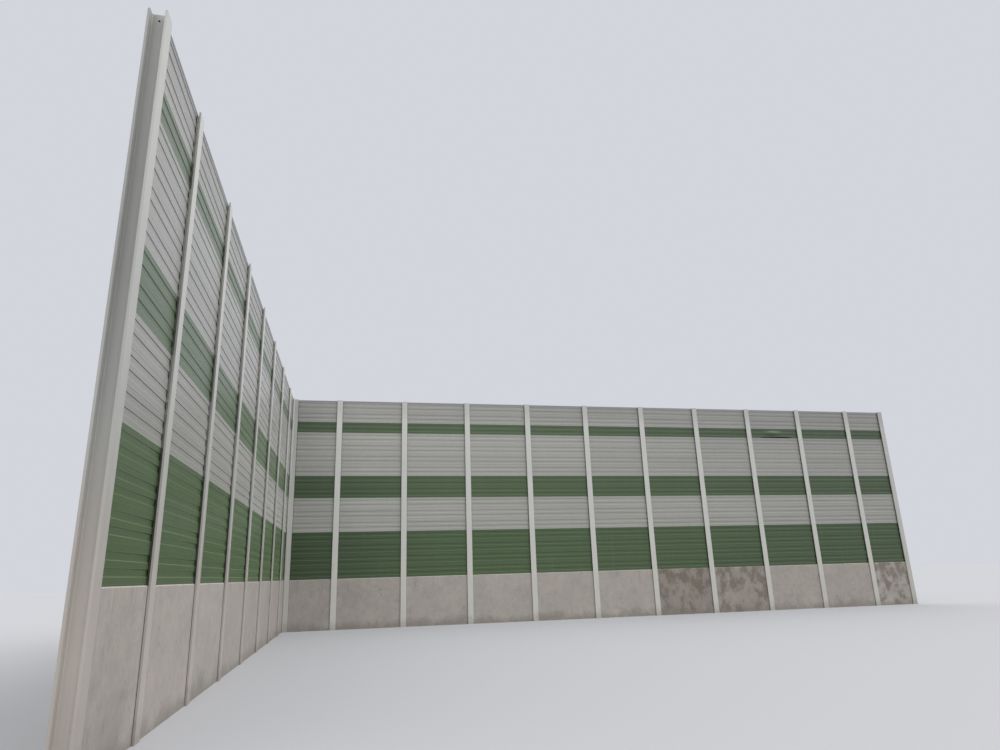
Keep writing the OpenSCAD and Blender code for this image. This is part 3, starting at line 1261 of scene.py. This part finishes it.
def dress_all(nodes: Iterable[str], finish: bpy.types.Material) -> None:
    """Gives several CAD nodes one finish and reports them.

    Args:
        nodes: Names of the nodes.
        finish: The material.
    """
    names = list(nodes)
    for node in names:
        dress(node, finish)
    LOG.info("%s on %s", finish.name, ", ".join(names))


def place_in_scene(name: str, mesh: bpy.types.Mesh) -> bpy.types.Object:
    """Puts a mesh into the scene as an object at the origin.

    Args:
        name: Name of the object.
        mesh: The mesh.

    Returns:
        The new object.
    """
    made = bpy.data.objects.new(name, mesh)
    bpy.context.scene.collection.objects.link(made)
    return made


def mesh_object(name: str, work: bmesh.types.BMesh) -> bpy.types.Object:
    """Turns an edit mesh into an object in the scene, at the origin.

    Args:
        name: Name of the object.
        work: The edit mesh, which is freed.

    Returns:
        The new object.
    """
    mesh = bpy.data.meshes.new(name)
    work.to_mesh(mesh)
    work.free()
    return place_in_scene(name, mesh)


@dataclass(frozen=True)
class FastenerHead:
    """The head of a rivet or screw as a turned shape, standing on its foot and pointing up Z.

    Attributes:
        name: Name of the shape.
        profile: Radius and height of each ring, from the foot up, in metres.
        sides: How many sides each ring has.
    """

    name: str
    profile: tuple[Pair, ...]
    sides: int = 14

    def build(self) -> bpy.types.Object:
        """Makes the head as an object.

        Returns:
            The head, with a closed foot and a closed top.
        """
        work = bmesh.new()
        turn = [2 * math.pi * k / self.sides for k in range(self.sides)]
        rings = [
            [work.verts.new((radius * math.cos(a), radius * math.sin(a), height)) for a in turn]
            for radius, height in self.profile
        ]
        for low, high in zip(rings, rings[1:]):
            for k in range(self.sides):
                m = (k + 1) % self.sides
                work.faces.new((low[k], low[m], high[m], high[k]))
        work.faces.new(list(reversed(rings[0])))
        work.faces.new(rings[-1])
        bmesh.ops.recalc_face_normals(work, faces=work.faces)
        return mesh_object(self.name, work)


SCREW = FastenerHead(
    "screw_head",
    ((0.009, 0.0), (0.009, 0.0018), (0.0056, 0.0022), (0.0056, 0.0062), (0.0046, 0.0070)),
    12,
)
RIVET = FastenerHead("rivet_head", ((0.0045, 0.0), (0.0045, 0.0006), (0.0038, 0.0017), (0.0018, 0.0023)))


@dataclass(frozen=True)
class FastenerRows:
    """Heads set at an even pitch along straight lines on a sheet, made by Geometry Nodes.

    Attributes:
        name: Name of the finished piece.
        head: The head's shape.
        pitch: Wanted distance between heads.
        lines: Start, end and facing direction of each line.
        slot: The record's material slot; not used.
        seed: Seed of each head's random turn.
    """

    name: str
    head: FastenerHead
    pitch: float
    lines: tuple[Line, ...]
    slot: str = "bare_metal"
    seed: int = 5

    def guides(self) -> bpy.types.Object:
        """Draws the lines as loose edges.

        Returns:
            The edges, each end with the direction that the heads face.
        """
        mesh = bpy.data.meshes.new(self.name + "_guides")
        points = [end for start, stop, _ in self.lines for end in (start, stop)]
        edges = [(2 * i, 2 * i + 1) for i in range(len(self.lines))]
        mesh.from_pydata(points, edges, [])
        facing = mesh.attributes.new("facing", "FLOAT_VECTOR", "POINT")
        for i, (_, _, direction) in enumerate(self.lines):
            facing.data[2 * i].vector = direction
            facing.data[2 * i + 1].vector = direction
        return place_in_scene(self.name + "_guides", mesh)

    def tree(self, finish: bpy.types.Material) -> bpy.types.NodeTree:
        """Builds the node tree: points along the lines, a head on each, and the finish.

        Args:
            finish: Material of the heads.

        Returns:
            The tree, with inputs Head, Pitch and Seed.
        """
        group = bpy.data.node_groups.new(self.name, "GeometryNodeTree")
        for name, way, kind in (
            ("Lines", "INPUT", "Geometry"),
            ("Head", "INPUT", "Object"),
            ("Pitch", "INPUT", "Float"),
            ("Seed", "INPUT", "Int"),
            ("Heads", "OUTPUT", "Geometry"),
        ):
            group.interface.new_socket(name, in_out=way, socket_type="NodeSocket" + kind)
        tree = Tree(group)
        given = tree.node("NodeGroupInput").outputs
        curve = tree.node("GeometryNodeMeshToCurve", inputs={"Mesh": given["Lines"]})
        points = tree.node(
            "GeometryNodeCurveToPoints",
            {"mode": "LENGTH"},
            {"Curve": curve.outputs[0], "Length": given["Pitch"]},
        )
        facing = tree.node(
            "GeometryNodeInputNamedAttribute", {"data_type": "FLOAT_VECTOR"}, {"Name": "facing"}
        )
        upright = tree.node(
            "FunctionNodeAlignRotationToVector", {"axis": "Z"}, {"Vector": facing.outputs["Attribute"]}
        )
        turn = tree.node(
            "FunctionNodeRandomValue",
            {"data_type": "FLOAT"},
            {"Min": 0.0, "Max": 2 * math.pi, "Seed": given["Seed"]},
        )
        spin = tree.node(
            "FunctionNodeAxisAngleToRotation",
            inputs={"Axis": (0.0, 0.0, 1.0), "Angle": turn.outputs["Value"]},
        )
        pose = tree.node(
            "FunctionNodeRotateRotation",
            {"rotation_space": "LOCAL"},
            {"Rotation": upright.outputs[0], "Rotate By": spin.outputs[0]},
        )
        shape = tree.node("GeometryNodeObjectInfo", inputs={"Object": given["Head"]})
        heads = tree.node(
            "GeometryNodeInstanceOnPoints",
            inputs={
                "Points": points.outputs["Points"],
                "Instance": shape.outputs["Geometry"],
                "Rotation": pose.outputs[0],
            },
        )
        real = tree.node("GeometryNodeRealizeInstances", inputs={"Geometry": heads.outputs[0]})
        painted = tree.node(
            "GeometryNodeSetMaterial", inputs={"Geometry": real.outputs[0], "Material": finish}
        )
        tree.node("NodeGroupOutput", inputs={"Heads": painted.outputs[0]})
        return group

    def build(self, finish: bpy.types.Material) -> None:
        """Makes the rows as one plain mesh and hands it over.

        Args:
            finish: Material of the heads.
        """
        head = self.head.build()
        guides = self.guides()
        modifier = guides.modifiers.new("rows", "NODES")
        modifier.node_group = self.tree(finish)
        wanted = {"Head": head, "Pitch": self.pitch, "Seed": self.seed}
        for item in modifier.node_group.interface.items_tree:
            if item.item_type == "SOCKET" and item.in_out == "INPUT" and item.name in wanted:
                modifier[item.identifier] = wanted[item.name]
        guides.update_tag()
        bpy.context.view_layer.update()
        seen = guides.evaluated_get(bpy.context.evaluated_depsgraph_get())
        mesh = bpy.data.meshes.new_from_object(seen)
        mesh.name = self.name
        made = place_in_scene(self.name, mesh)
        guides.modifiers.remove(modifier)
        for spare in (guides, head):
            bpy.data.objects.remove(spare)
        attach(made, "root")
        LOG.info("%s: %d faces", self.name, len(mesh.polygons))


@dataclass
class Capping:
    """The folded sheets on the wall, with the rivets that hold their legs to the cassettes.

    Attributes:
        layout: The run that it covers.
        rivet: Head of a rivet.
        top: Height of the upper edge of the legs' flat part.
        below: Distance from there down to the row of rivets.
        face: Distance of the leg's outer face from the centre line.
        end_gap: Distance from a post's centre to the first rivet.
        pitch: Distance between rivets.
    """

    layout: RunLayout
    rivet: FastenerHead
    top: float = 10.108
    below: float = 0.026
    face: float = 0.0723
    end_gap: float = 0.17
    pitch: float = 0.5

    def rows(self) -> tuple[Line, ...]:
        """Draws a line of rivets along each leg of each bay.

        Returns:
            The lines.
        """
        posts = self.layout.posts()
        made = []
        for side in (1.0, -1.0):
            for start, stop in zip(posts, posts[1:]):
                ends = (start + self.end_gap, stop - self.end_gap)
                low, high = (self.layout.place(e, side * self.face, self.top - self.below) for e in ends)
                made.append((low, high, side * self.layout.inward()))
        return tuple(made)

    def build(self, finish: bpy.types.Material) -> None:
        """Adds the rivets and dresses the sheets.

        Args:
            finish: Material of both.
        """
        name = self.layout.run.value + "_capping"
        FastenerRows(name + "_rivets", self.rivet, self.pitch, self.rows()).build(finish)
        dress_all([name], finish)


@dataclass
class CornerClosing:
    """The angle sheet outside the corner and the screws that hold it to the two corner posts.

    Attributes:
        screw: Head of a screw with its washer.
        outer_x: Outer face of the leg behind the short run.
        outer_y: Outer face of the leg behind the long run.
        screw_y: Place of the screws on the first leg.
        screw_x: Place of the screws on the second leg.
        span: Heights of the lowest and the highest screw.
        pitch: Distance between screws.
    """

    screw: FastenerHead
    outer_x: float = -0.3143
    outer_y: float = 0.1393
    screw_y: float = -0.2
    screw_x: float = -0.06
    span: Span = (0.25, 10.0)
    pitch: float = 0.45

    def rows(self) -> tuple[Line, ...]:
        """Draws one upright line of screws on each leg.

        Returns:
            The lines.
        """
        made = []
        legs = ((self.outer_x, self.screw_y, (-1, 0, 0)), (self.screw_x, self.outer_y, (0, 1, 0)))
        for x, y, facing in legs:
            low, high = (Vector((x, y, z)) for z in self.span)
            made.append((low, high, Vector(facing)))
        return tuple(made)

    def build(self, sheet: bpy.types.Material, metal: bpy.types.Material) -> None:
        """Adds the screws and dresses the sheet."""
        FastenerRows("corner_closing_screws", self.screw, self.pitch, self.rows()).build(metal)
        dress_all(["corner_closing_sheet"], sheet)


@dataclass
class Posts:
    """The H-posts of one run.

    Attributes:
        layout: The run.
        kinds: Which posts it has.
    """

    layout: RunLayout
    kinds: tuple[str, ...] = ("end_post", "line_posts", "corner_post")

    def build(self, paint: bpy.types.Material) -> None:
        """Dresses the posts."""
        dress_all([f"{self.layout.run.value}_{kind}" for kind in self.kinds], paint)


@dataclass
class CassetteStack:
    """The banded stacks of cassettes of one run.

    Attributes:
        layout: The run.
        bands: Names of its bands, without the colour.
    """

    layout: RunLayout
    bands: tuple[str, ...] = ("low", "mid", "top")

    def build(self, green: bpy.types.Material, grey: bpy.types.Material) -> None:
        """Dresses the green and the grey bands."""
        for tone, finish in (("green", green), ("grey", grey)):
            dress_all([f"{self.layout.run.value}_{tone}_{band}" for band in self.bands], finish)


@dataclass(frozen=True)
class SoftForm:
    """A soft round bulge or dent in a sheet.

    Attributes:
        along: Place of its middle along the sheet.
        height: Height of its middle.
        half_length: Half its length.
        half_height: Half its height.
        size: How far it reaches in its middle.
    """

    along: float
    height: float
    half_length: float
    half_height: float
    size: float

    def reach(self, along: float, height: float) -> float:
        """Finds how far it reaches at a place.

        Args:
            along: Place along the sheet.
            height: Height of the place.

        Returns:
            The reach, which dies away round the middle.
        """
        lengthwise = (along - self.along) / self.half_length
        upwards = (height - self.height) / self.half_height
        return self.size * math.exp(-(lengthwise**2 + upwards**2))


@dataclass(frozen=True)
class Crease:
    """A sharp crease in a sheet, which gets shallower from its start to its end.

    Attributes:
        start: Place along and height of its start.
        stop: The same of its end.
        half_width: Half its width.
        depth: Its depth at the start.
        lost: Share of the depth that is lost at the end.
    """

    start: Pair
    stop: Pair
    half_width: float = 0.028
    depth: float = 0.004
    lost: float = 0.6

    def deep(self, along: float, height: float) -> float:
        """Finds how deep the crease is at a place.

        Args:
            along: Place along the sheet.
            height: Height of the place.

        Returns:
            The depth, nought beside the crease.
        """
        (x0, z0), (x1, z1) = self.start, self.stop
        run_x, run_z = x1 - x0, z1 - z0
        share = ((along - x0) * run_x + (height - z0) * run_z) / (run_x**2 + run_z**2)
        share = min(1.0, max(0.0, share))
        away = math.hypot(along - x0 - share * run_x, height - z0 - share * run_z)
        return self.depth * (1 - share * self.lost) * max(0.0, 1 - away / self.half_width)


@dataclass
class BuckledCassette:
    """The damaged cassette, whose face sheet has come out of the joint and shows the fleece behind.

    Distances across the wall are from its centre line towards the inner side, heights are from the
    cassette's foot, and distances along it are from its first end.

    Attributes:
        layout: The run that it stands in.
        start: Distance of its first end from the corner post.
        foot: Height of its foot.
        length: Its length.
        row: Its height up to the shoulder.
        face: Distance of the raised fields from the centre line.
        recess: Depth of the recessed fields.
        fold: Height of a field.
        slope: Height of the folded slope beside a recessed field.
        bevel: Bevel at the shoulder.
        tongue: Half width of the tongue at its foot, half width at its tip, and its height.
        play: Play between tongue and groove.
        fleece: Distance of the fleece from the centre line.
        sheet: Thickness of the face sheet.
        gap: Gap between the face sheet's top fold and the absorber.
        lip: Width of the sheet's folds at its top and foot.
        stretch: Length of the buckled stretch.
        middle: Middle of the buckled stretch.
        out: How far the foot of the sheet bulges out.
        lift: How far the foot of the sheet is lifted.
        fade: Height at which the buckle ends.
        fullness: How long the buckle stays nearly whole before it fades.
        held: Height of the strip below the shoulder that bulge, dent and creases leave straight.
        easing: Height over which they set in below that strip.
        bulge: The soft bulge.
        dent: The dent below it.
        creases: The sharp creases.
        step: Wanted distance between mesh lines, along and up.
        sharp: Angle in degrees from which an edge shows as sharp.
    """

    layout: RunLayout
    start: float = 23.031
    foot: float = 8.608
    length: float = 2.938
    row: float = 0.4997
    face: float = 0.07
    recess: float = 0.012
    fold: float = 0.1
    slope: float = 0.01
    bevel: float = 0.005
    tongue: Point = (0.033, 0.030, 0.012)
    play: float = 0.0015
    fleece: float = 0.036
    sheet: float = 0.0012
    gap: float = 0.0005
    lip: float = 0.012
    stretch: float = 1.95
    middle: float = 1.589
    out: float = 0.014
    lift: float = 0.072
    fade: float = 0.22
    fullness: float = 6.0
    held: float = 0.06
    easing: float = 0.1
    bulge: SoftForm = SoftForm(1.42, 0.25, 0.42, 0.12, 0.046)
    dent: SoftForm = SoftForm(1.18, 0.03, 0.24, 0.13, 0.034)
    creases: tuple[Crease, ...] = (
        Crease((1.20, 0.15), (0.75, 0.02)),
        Crease((1.20, 0.15), (1.85, 0.04)),
        Crease((1.20, 0.15), (1.03, 0.37)),
        Crease((2.26, 0.03), (2.40, 0.21)),
        Crease((0.80, 0.02), (0.70, 0.20)),
    )
    step: Pair = (0.02, 0.012)
    sharp: float = 22.0

    def face_corners(self) -> list[Pair]:
        """Draws the unharmed face sheet in section.

        Returns:
            Its corners, from its top fold down to its foot.
        """
        face, back, shoulder = self.face, self.face - self.recess, self.row
        corners = [(face - self.bevel - self.lip, shoulder), (face - self.bevel, shoulder)]
        corners.append((face, shoulder - self.bevel))
        for level in (4, 2):
            high, low = level * self.fold, (level - 1) * self.fold
            corners += [(face, high + self.slope), (back, high), (back, low + self.slope), (face, low)]
        return corners + [(face, 0.0), (face - self.lip, 0.0)]

    def spread(self, ends: list[float], step: float) -> list[float]:
        """Fills in numbers between given ones.

        Args:
            ends: The numbers that are kept.
            step: Largest distance between neighbours.

        Returns:
            The numbers in order.
        """
        made = [ends[0]]
        for low, high in zip(ends, ends[1:]):
            count = max(1, math.ceil(abs(high - low) / step))
            made += [low + (high - low) * k / count for k in range(1, count + 1)]
        return made

    def face_line(self) -> list[Pair]:
        """Fills in the points between the face sheet's corners.

        Returns:
            The corners and the points between them.
        """
        corners = self.face_corners()
        made = [corners[0]]
        for (out, low), (far, high) in zip(corners, corners[1:]):
            count = max(1, math.ceil(math.hypot(far - out, high - low) / self.step[1]))
            for k in range(1, count + 1):
                made.append((out + (far - out) * k / count, low + (high - low) * k / count))
        return made

    def moved(self, along: float, out: float, height: float) -> Pair:
        """Finds where the damage has moved a point of the section.

        Args:
            along: Place along the cassette.
            out: Distance from the centre line.
            height: Height above the foot.

        Returns:
            The new distance from the centre line and the new height.
        """
        share = max(0.0, 1 - (2 * abs(along - self.middle) / self.stretch) ** self.fullness)
        give = share * out / self.face * max(0.0, 1 - height / self.fade)
        free = min(1.0, max(0.0, (self.row - self.held - height) / self.easing))
        soft = self.bulge.reach(along, height) - self.dent.reach(along, height)
        folded = max(crease.deep(along, height) for crease in self.creases)
        return out + give * self.out + (soft - folded) * free, height + give * self.lift

    def face_sheet(self) -> bpy.types.Object:
        """Makes the buckled sheet with its thickness.

        Returns:
            The sheet as a closed mesh.
        """
        ends = [0.0, self.middle - self.stretch / 2, self.middle + self.stretch / 2, self.length]
        work = bmesh.new()
        lines = []
        for along in self.spread(ends, self.step[0]):
            moved = [self.moved(along, out, height) for out, height in self.face_line()]
            places = [self.layout.place(self.start + along, out, self.foot + height) for out, height in moved]
            lines.append([work.verts.new(place) for place in places])
        for left, right in zip(lines, lines[1:]):
            for k in range(len(left) - 1):
                work.faces.new((left[k], left[k + 1], right[k + 1], right[k]))
        work.normal_update()
        bmesh.ops.solidify(work, geom=work.faces[:], thickness=self.sheet)
        bmesh.ops.recalc_face_normals(work, faces=work.faces)
        for edge in work.edges:
            edge.smooth = edge.calc_face_angle(0.0) < math.radians(self.sharp)
        for surface in work.faces:
            surface.smooth = True
        return mesh_object("buckled_face_sheet", work)

    def tray_section(self) -> list[Pair]:
        """Draws the tray with its absorber in section.

        Returns:
            Its corners, from the groove round the outer side and the tongue to the fleece.
        """
        foot, tip, rise = self.tongue
        face, back, groove = self.face, self.face - self.recess, foot + self.play
        outer = [(-tip - self.play, rise + self.play), (-groove, 0.0), (-face, 0.0)]
        for level in (1, 3):
            low, high = level * self.fold, (level + 1) * self.fold
            outer += [(-face, low), (-back, low + self.slope), (-back, high), (-face, high + self.slope)]
        outer += [(-face, self.row - self.bevel), (self.bevel - face, self.row), (-foot, self.row)]
        top = self.row - self.sheet - self.gap
        inner = [(-tip, self.row + rise), (tip, self.row + rise), (foot, top), (self.fleece, top)]
        return outer + inner + [(self.fleece, 0.0), (groove, 0.0), (tip + self.play, rise + self.play)]

    def tray(self) -> bpy.types.Object:
        """Makes the tray behind the sheet with its absorber.

        Returns:
            The tray, whose second material is the fleece.
        """
        section = self.tray_section()
        work = bmesh.new()
        ends = []
        for along in (0.0, self.length):
            places = [self.layout.place(self.start + along, out, self.foot + up) for out, up in section]
            ends.append([work.verts.new(place) for place in places])
        first, last = ends
        for k in range(len(section)):
            m = (k + 1) % len(section)
            side = work.faces.new((first[k], first[m], last[m], last[k]))
            side.material_index = int(section[k][0] == section[m][0] == self.fleece)
        for end in ends:
            work.faces.new(end)
        bmesh.ops.recalc_face_normals(work, faces=work.faces)
        return mesh_object("buckled_cassette_tray", work)

    def build(self, coating: bpy.types.Material, fleece: bpy.types.Material) -> None:
        """Adds the sheet and the tray in place of the plain cassette.

        Args:
            coating: Material of the sheet and the tray.
            fleece: Material of the fleece.
        """
        for made, finishes in ((self.face_sheet(), (coating,)), (self.tray(), (coating, fleece))):
            for finish in finishes:
                made.data.materials.append(finish)
            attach(made, "root")
            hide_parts("buckled_cassette")
            LOG.info("%s: %d faces", made.name, len(made.data.polygons))


@dataclass
class Plinths:
    """The concrete panels and rubber strips of one run.

    Attributes:
        layout: The run.
        strips: Names of its rubber pieces.
    """

    layout: RunLayout
    strips: tuple[str, ...] = ("plinth_strips", "bearing_strips", "front_seals", "rear_seals")

    def build(self, concrete: bpy.types.Material, rubber: bpy.types.Material) -> None:
        """Dresses the panels and the strips."""
        dress_all([self.layout.run.value + "_plinths"], concrete)
        dress_all([f"{self.layout.run.value}_{strip}" for strip in self.strips], rubber)


@dataclass
class Studio:
    """Floor, world, lamp and camera.

    Attributes:
        floor_size: Side of the floor.
        floor_colour: Colour of the floor as it is seen.
        floor_bounce: Colour of the floor as it lights the object.
        backdrop: Colour that the camera sees behind the object.
        ambient: Strength of the light from all round.
        sun_from: Direction that the main light comes from.
        sun_strength: Strength of the main light.
        sun_spread: Angle over which the main light is spread, in degrees.
        eye: Place of the camera.
        turn: Compass turn, tilt up and roll of the camera, in degrees.
        focal: Focal length in pixels of a picture 1000 pixels wide.
        centre: Place of the optical axis in that picture, in pixels.
        frame_size: Width and height of that picture in pixels.
        sensor: Width of the camera's sensor in millimetres.
        sight: How far the camera sees.
    """

    floor_size: float = 600.0
    floor_colour: Colour = linear(188, 189, 193)
    floor_bounce: Colour = linear(138, 136, 133)
    backdrop: Colour = linear(211, 213, 221)
    ambient: float = 1.05
    sun_from: Point = (0.72, -0.4, 0.8)
    sun_strength: float = 1.2
    sun_spread: float = 50.0
    eye: Point = (2.825, -30.968, 2.112)
    turn: tuple[float, float, float] = (11.931, 15.771, -1.732)
    focal: float = 663.0
    centre: Pair = (493.4, 386.6)
    frame_size: tuple[int, int] = (1000, 750)
    sensor: float = 36.0
    sight: float = 2000.0

    def build(self) -> None:
        """Builds the studio."""
        self.floor()
        self.world()
        self.sun()
        self.camera()
        bpy.context.scene.view_settings.view_transform = "Standard"
        LOG.info("studio with its camera at %s", self.eye)

    def floor(self) -> None:
        """A plain floor at ground level."""
        work = bmesh.new()
        bmesh.ops.create_grid(work, x_segments=1, y_segments=1, size=self.floor_size / 2)
        made = mesh_object("studio_floor", work)
        finish = StudioFloor("studio_floor", self.floor_colour, self.floor_bounce)
        made.data.materials.append(finish.material())

    def world(self) -> None:
        """Even light from all round, with a plain backdrop for the camera."""
        world = bpy.data.worlds.new("studio_world")
        world.use_nodes = True
        world.node_tree.nodes.clear()
        tree = Tree(world.node_tree)
        light, plain = (
            tree.node("ShaderNodeBackground", inputs={"Color": colour, "Strength": strength})
            for colour, strength in (((1.0, 1.0, 1.0), self.ambient), (self.backdrop, 1.0))
        )
        inputs = {0: tree.backdrop_rays(), 1: light.outputs[0], 2: plain.outputs[0]}
        both = tree.node("ShaderNodeMixShader", inputs=inputs)
        tree.node("ShaderNodeOutputWorld", inputs={"Surface": both.outputs[0]})
        bpy.context.scene.world = world

    def sun(self) -> None:
        """One very wide lamp."""
        lamp = bpy.data.lights.new("studio_lamp", "SUN")
        lamp.energy = self.sun_strength
        lamp.angle = math.radians(self.sun_spread)
        made = bpy.data.objects.new("studio_lamp", lamp)
        made.rotation_mode = "QUATERNION"
        made.rotation_quaternion = (-Vector(self.sun_from)).to_track_quat("-Z", "Y")
        bpy.context.scene.collection.objects.link(made)

    def camera(self) -> None:
        """The camera at the photograph's viewing angle."""
        yaw, pitch, roll = (math.radians(a) for a in self.turn)
        ahead = Vector((math.sin(yaw) * math.cos(pitch), math.cos(yaw) * math.cos(pitch), math.sin(pitch)))
        level = Vector((math.cos(yaw), -math.sin(yaw), 0.0))
        upright = level.cross(ahead)
        right = math.cos(roll) * level + math.sin(roll) * upright
        up = math.cos(roll) * upright - math.sin(roll) * level
        lens = bpy.data.cameras.new("camera")
        width, height = self.frame_size
        lens.sensor_width = self.sensor
        lens.lens = self.focal / width * self.sensor
        lens.shift_x = (width / 2 - self.centre[0]) / width
        lens.shift_y = (self.centre[1] - height / 2) / width
        lens.clip_end = self.sight
        made = bpy.data.objects.new("camera", lens)
        turned = Matrix((right, up, -ahead)).transposed().to_4x4()
        made.matrix_world = Matrix.Translation(self.eye) @ turned
        bpy.context.scene.collection.objects.link(made)
        bpy.context.scene.camera = made


@dataclass(frozen=True)
class Palette:
    """Base colours of the finishes.

    Attributes:
        green: Green cassettes.
        grey: Grey cassettes.
        post: Posts of the long run.
        dusty_post: Posts of the short run, which have more dust on them.
        concrete: Plinths.
        rubber: Seals and strips.
        metal: Capping, rivets and screws.
        fleece: Fleece in the buckled cassette.
    """

    green: Colour = linear(73, 98, 58)
    grey: Colour = linear(170, 170, 166)
    post: Colour = linear(208, 207, 201)
    dusty_post: Colour = linear(211, 204, 198)
    concrete: Colour = linear(174, 167, 161)
    rubber: Colour = linear(80, 79, 76)
    metal: Colour = linear(150, 152, 154)
    fleece: Colour = linear(26, 26, 27)


def build_short_run(palette: Palette, rubber: bpy.types.Material) -> bpy.types.Material:
    """Builds the looks of the short run.

    Args:
        palette: Base colours.
        rubber: Finish of the seals.

    Returns:
        The paint of its posts, which the corner's sheet shares.
    """
    # The short run's coatings carry strong chalking and a painted sheen high up.
    run, chalk_and_sheen = SHORT_RUN, (0.02, 0.23)
    paint = PostPaint(
        "short_run_post_paint",
        palette.dusty_post,
        run,
        low_shade=0.30,
        channel_light_and_shade=(1.41, 0.80),
        rim_shade=0.42,
        end_shade=0.07,
        end_grime=(0.09, 0.0),
    ).material()
    Posts(run).build(paint)
    # Painted light and shade along the run are set below: the coatings are lighter near the corner.
    green = SheetCoating(
        "short_run_green_coating",
        palette.green,
        run,
        fade=(1.60, 1.0),
        painted_light_high=(1.25, 1.08),
        chalk_and_sheen=chalk_and_sheen,
    ).material()
    grey = SheetCoating(
        "short_run_grey_coating",
        palette.grey,
        run,
        fade=(1.40, 0.86),
        painted_light_high=(1.14, 1.10),
        chalk_and_sheen=chalk_and_sheen,
    ).material()
    CassetteStack(run).build(green, grey)
    concrete = PrecastConcrete(
        "short_run_concrete", palette.concrete, run, fade=(0.98, 0.98), end_grime=(0.20, 0.07)
    ).material()
    Plinths(run).build(concrete, rubber)
    return paint


def build_long_run(palette: Palette, rubber: bpy.types.Material) -> None:
    """Builds the looks of the long run, with its buckled cassette.

    Args:
        palette: Base colours.
        rubber: Finish of the seals.
    """
    # Painted light and shade along the run and painted shade in the corner are set below.
    run, painted_light = LONG_RUN, (1.02, 0.88)
    paint = PostPaint(
        "long_run_post_paint",
        palette.post,
        run,
        fade=painted_light,
        painted_light_high=painted_light,
        corner_shade=(0.23, 0.3),
        corner_shade_reach=1.0,
        end_shade=0.13,
        top_shade=0.14,
    ).material()
    Posts(run).build(paint)
    green = SheetCoating(
        "long_run_green_coating",
        palette.green,
        run,
        fade=(1.13, 0.74),
        painted_light_high=(1.14, 0.64),
        corner_shade=(0.44, 0.32),
        corner_shade_reach=8.0,
    ).material()
    grey = SheetCoating(
        "long_run_grey_coating",
        palette.grey,
        run,
        fade=(1.11, 0.90),
        painted_light_high=(1.12, 0.82),
        corner_shade=(0.2, 0.2),
        corner_shade_reach=3.5,
    ).material()
    CassetteStack(run).build(green, grey)
    BuckledCassette(run).build(green, Fleece("absorber_fleece", palette.fleece).material())
    blotched = (
        BlotchedStretch(17.05, 19.95, 0.36, 0.38),
        BlotchedStretch(20.05, 22.95, 0.24, 0.44),
        BlotchedStretch(29.05, 31.2, 0.0, 0.62),
    )
    concrete = PrecastConcrete(
        "long_run_concrete",
        palette.concrete,
        run,
        fade=(1.07, 0.92),
        corner_shade=(0.16, 0.16),
        corner_shade_reach=7.0,
        blotched=blotched,
    ).material()
    Plinths(run).build(concrete, rubber)


def main() -> None:
    """Builds the barrier's looks and the studio, in order."""
    logging.basicConfig(level=logging.INFO, format="%(name)s: %(message)s")
    palette = Palette()
    Studio().build()
    rubber = SealRubber("seal_rubber", palette.rubber).material()
    paint = build_short_run(palette, rubber)
    build_long_run(palette, rubber)
    metal = DullSheet("dull_sheet", palette.metal).material()
    CornerClosing(SCREW).build(paint, metal)
    for layout in (SHORT_RUN, LONG_RUN):
        Capping(layout, RIVET).build(metal)


if __name__ == "__main__":
    main()
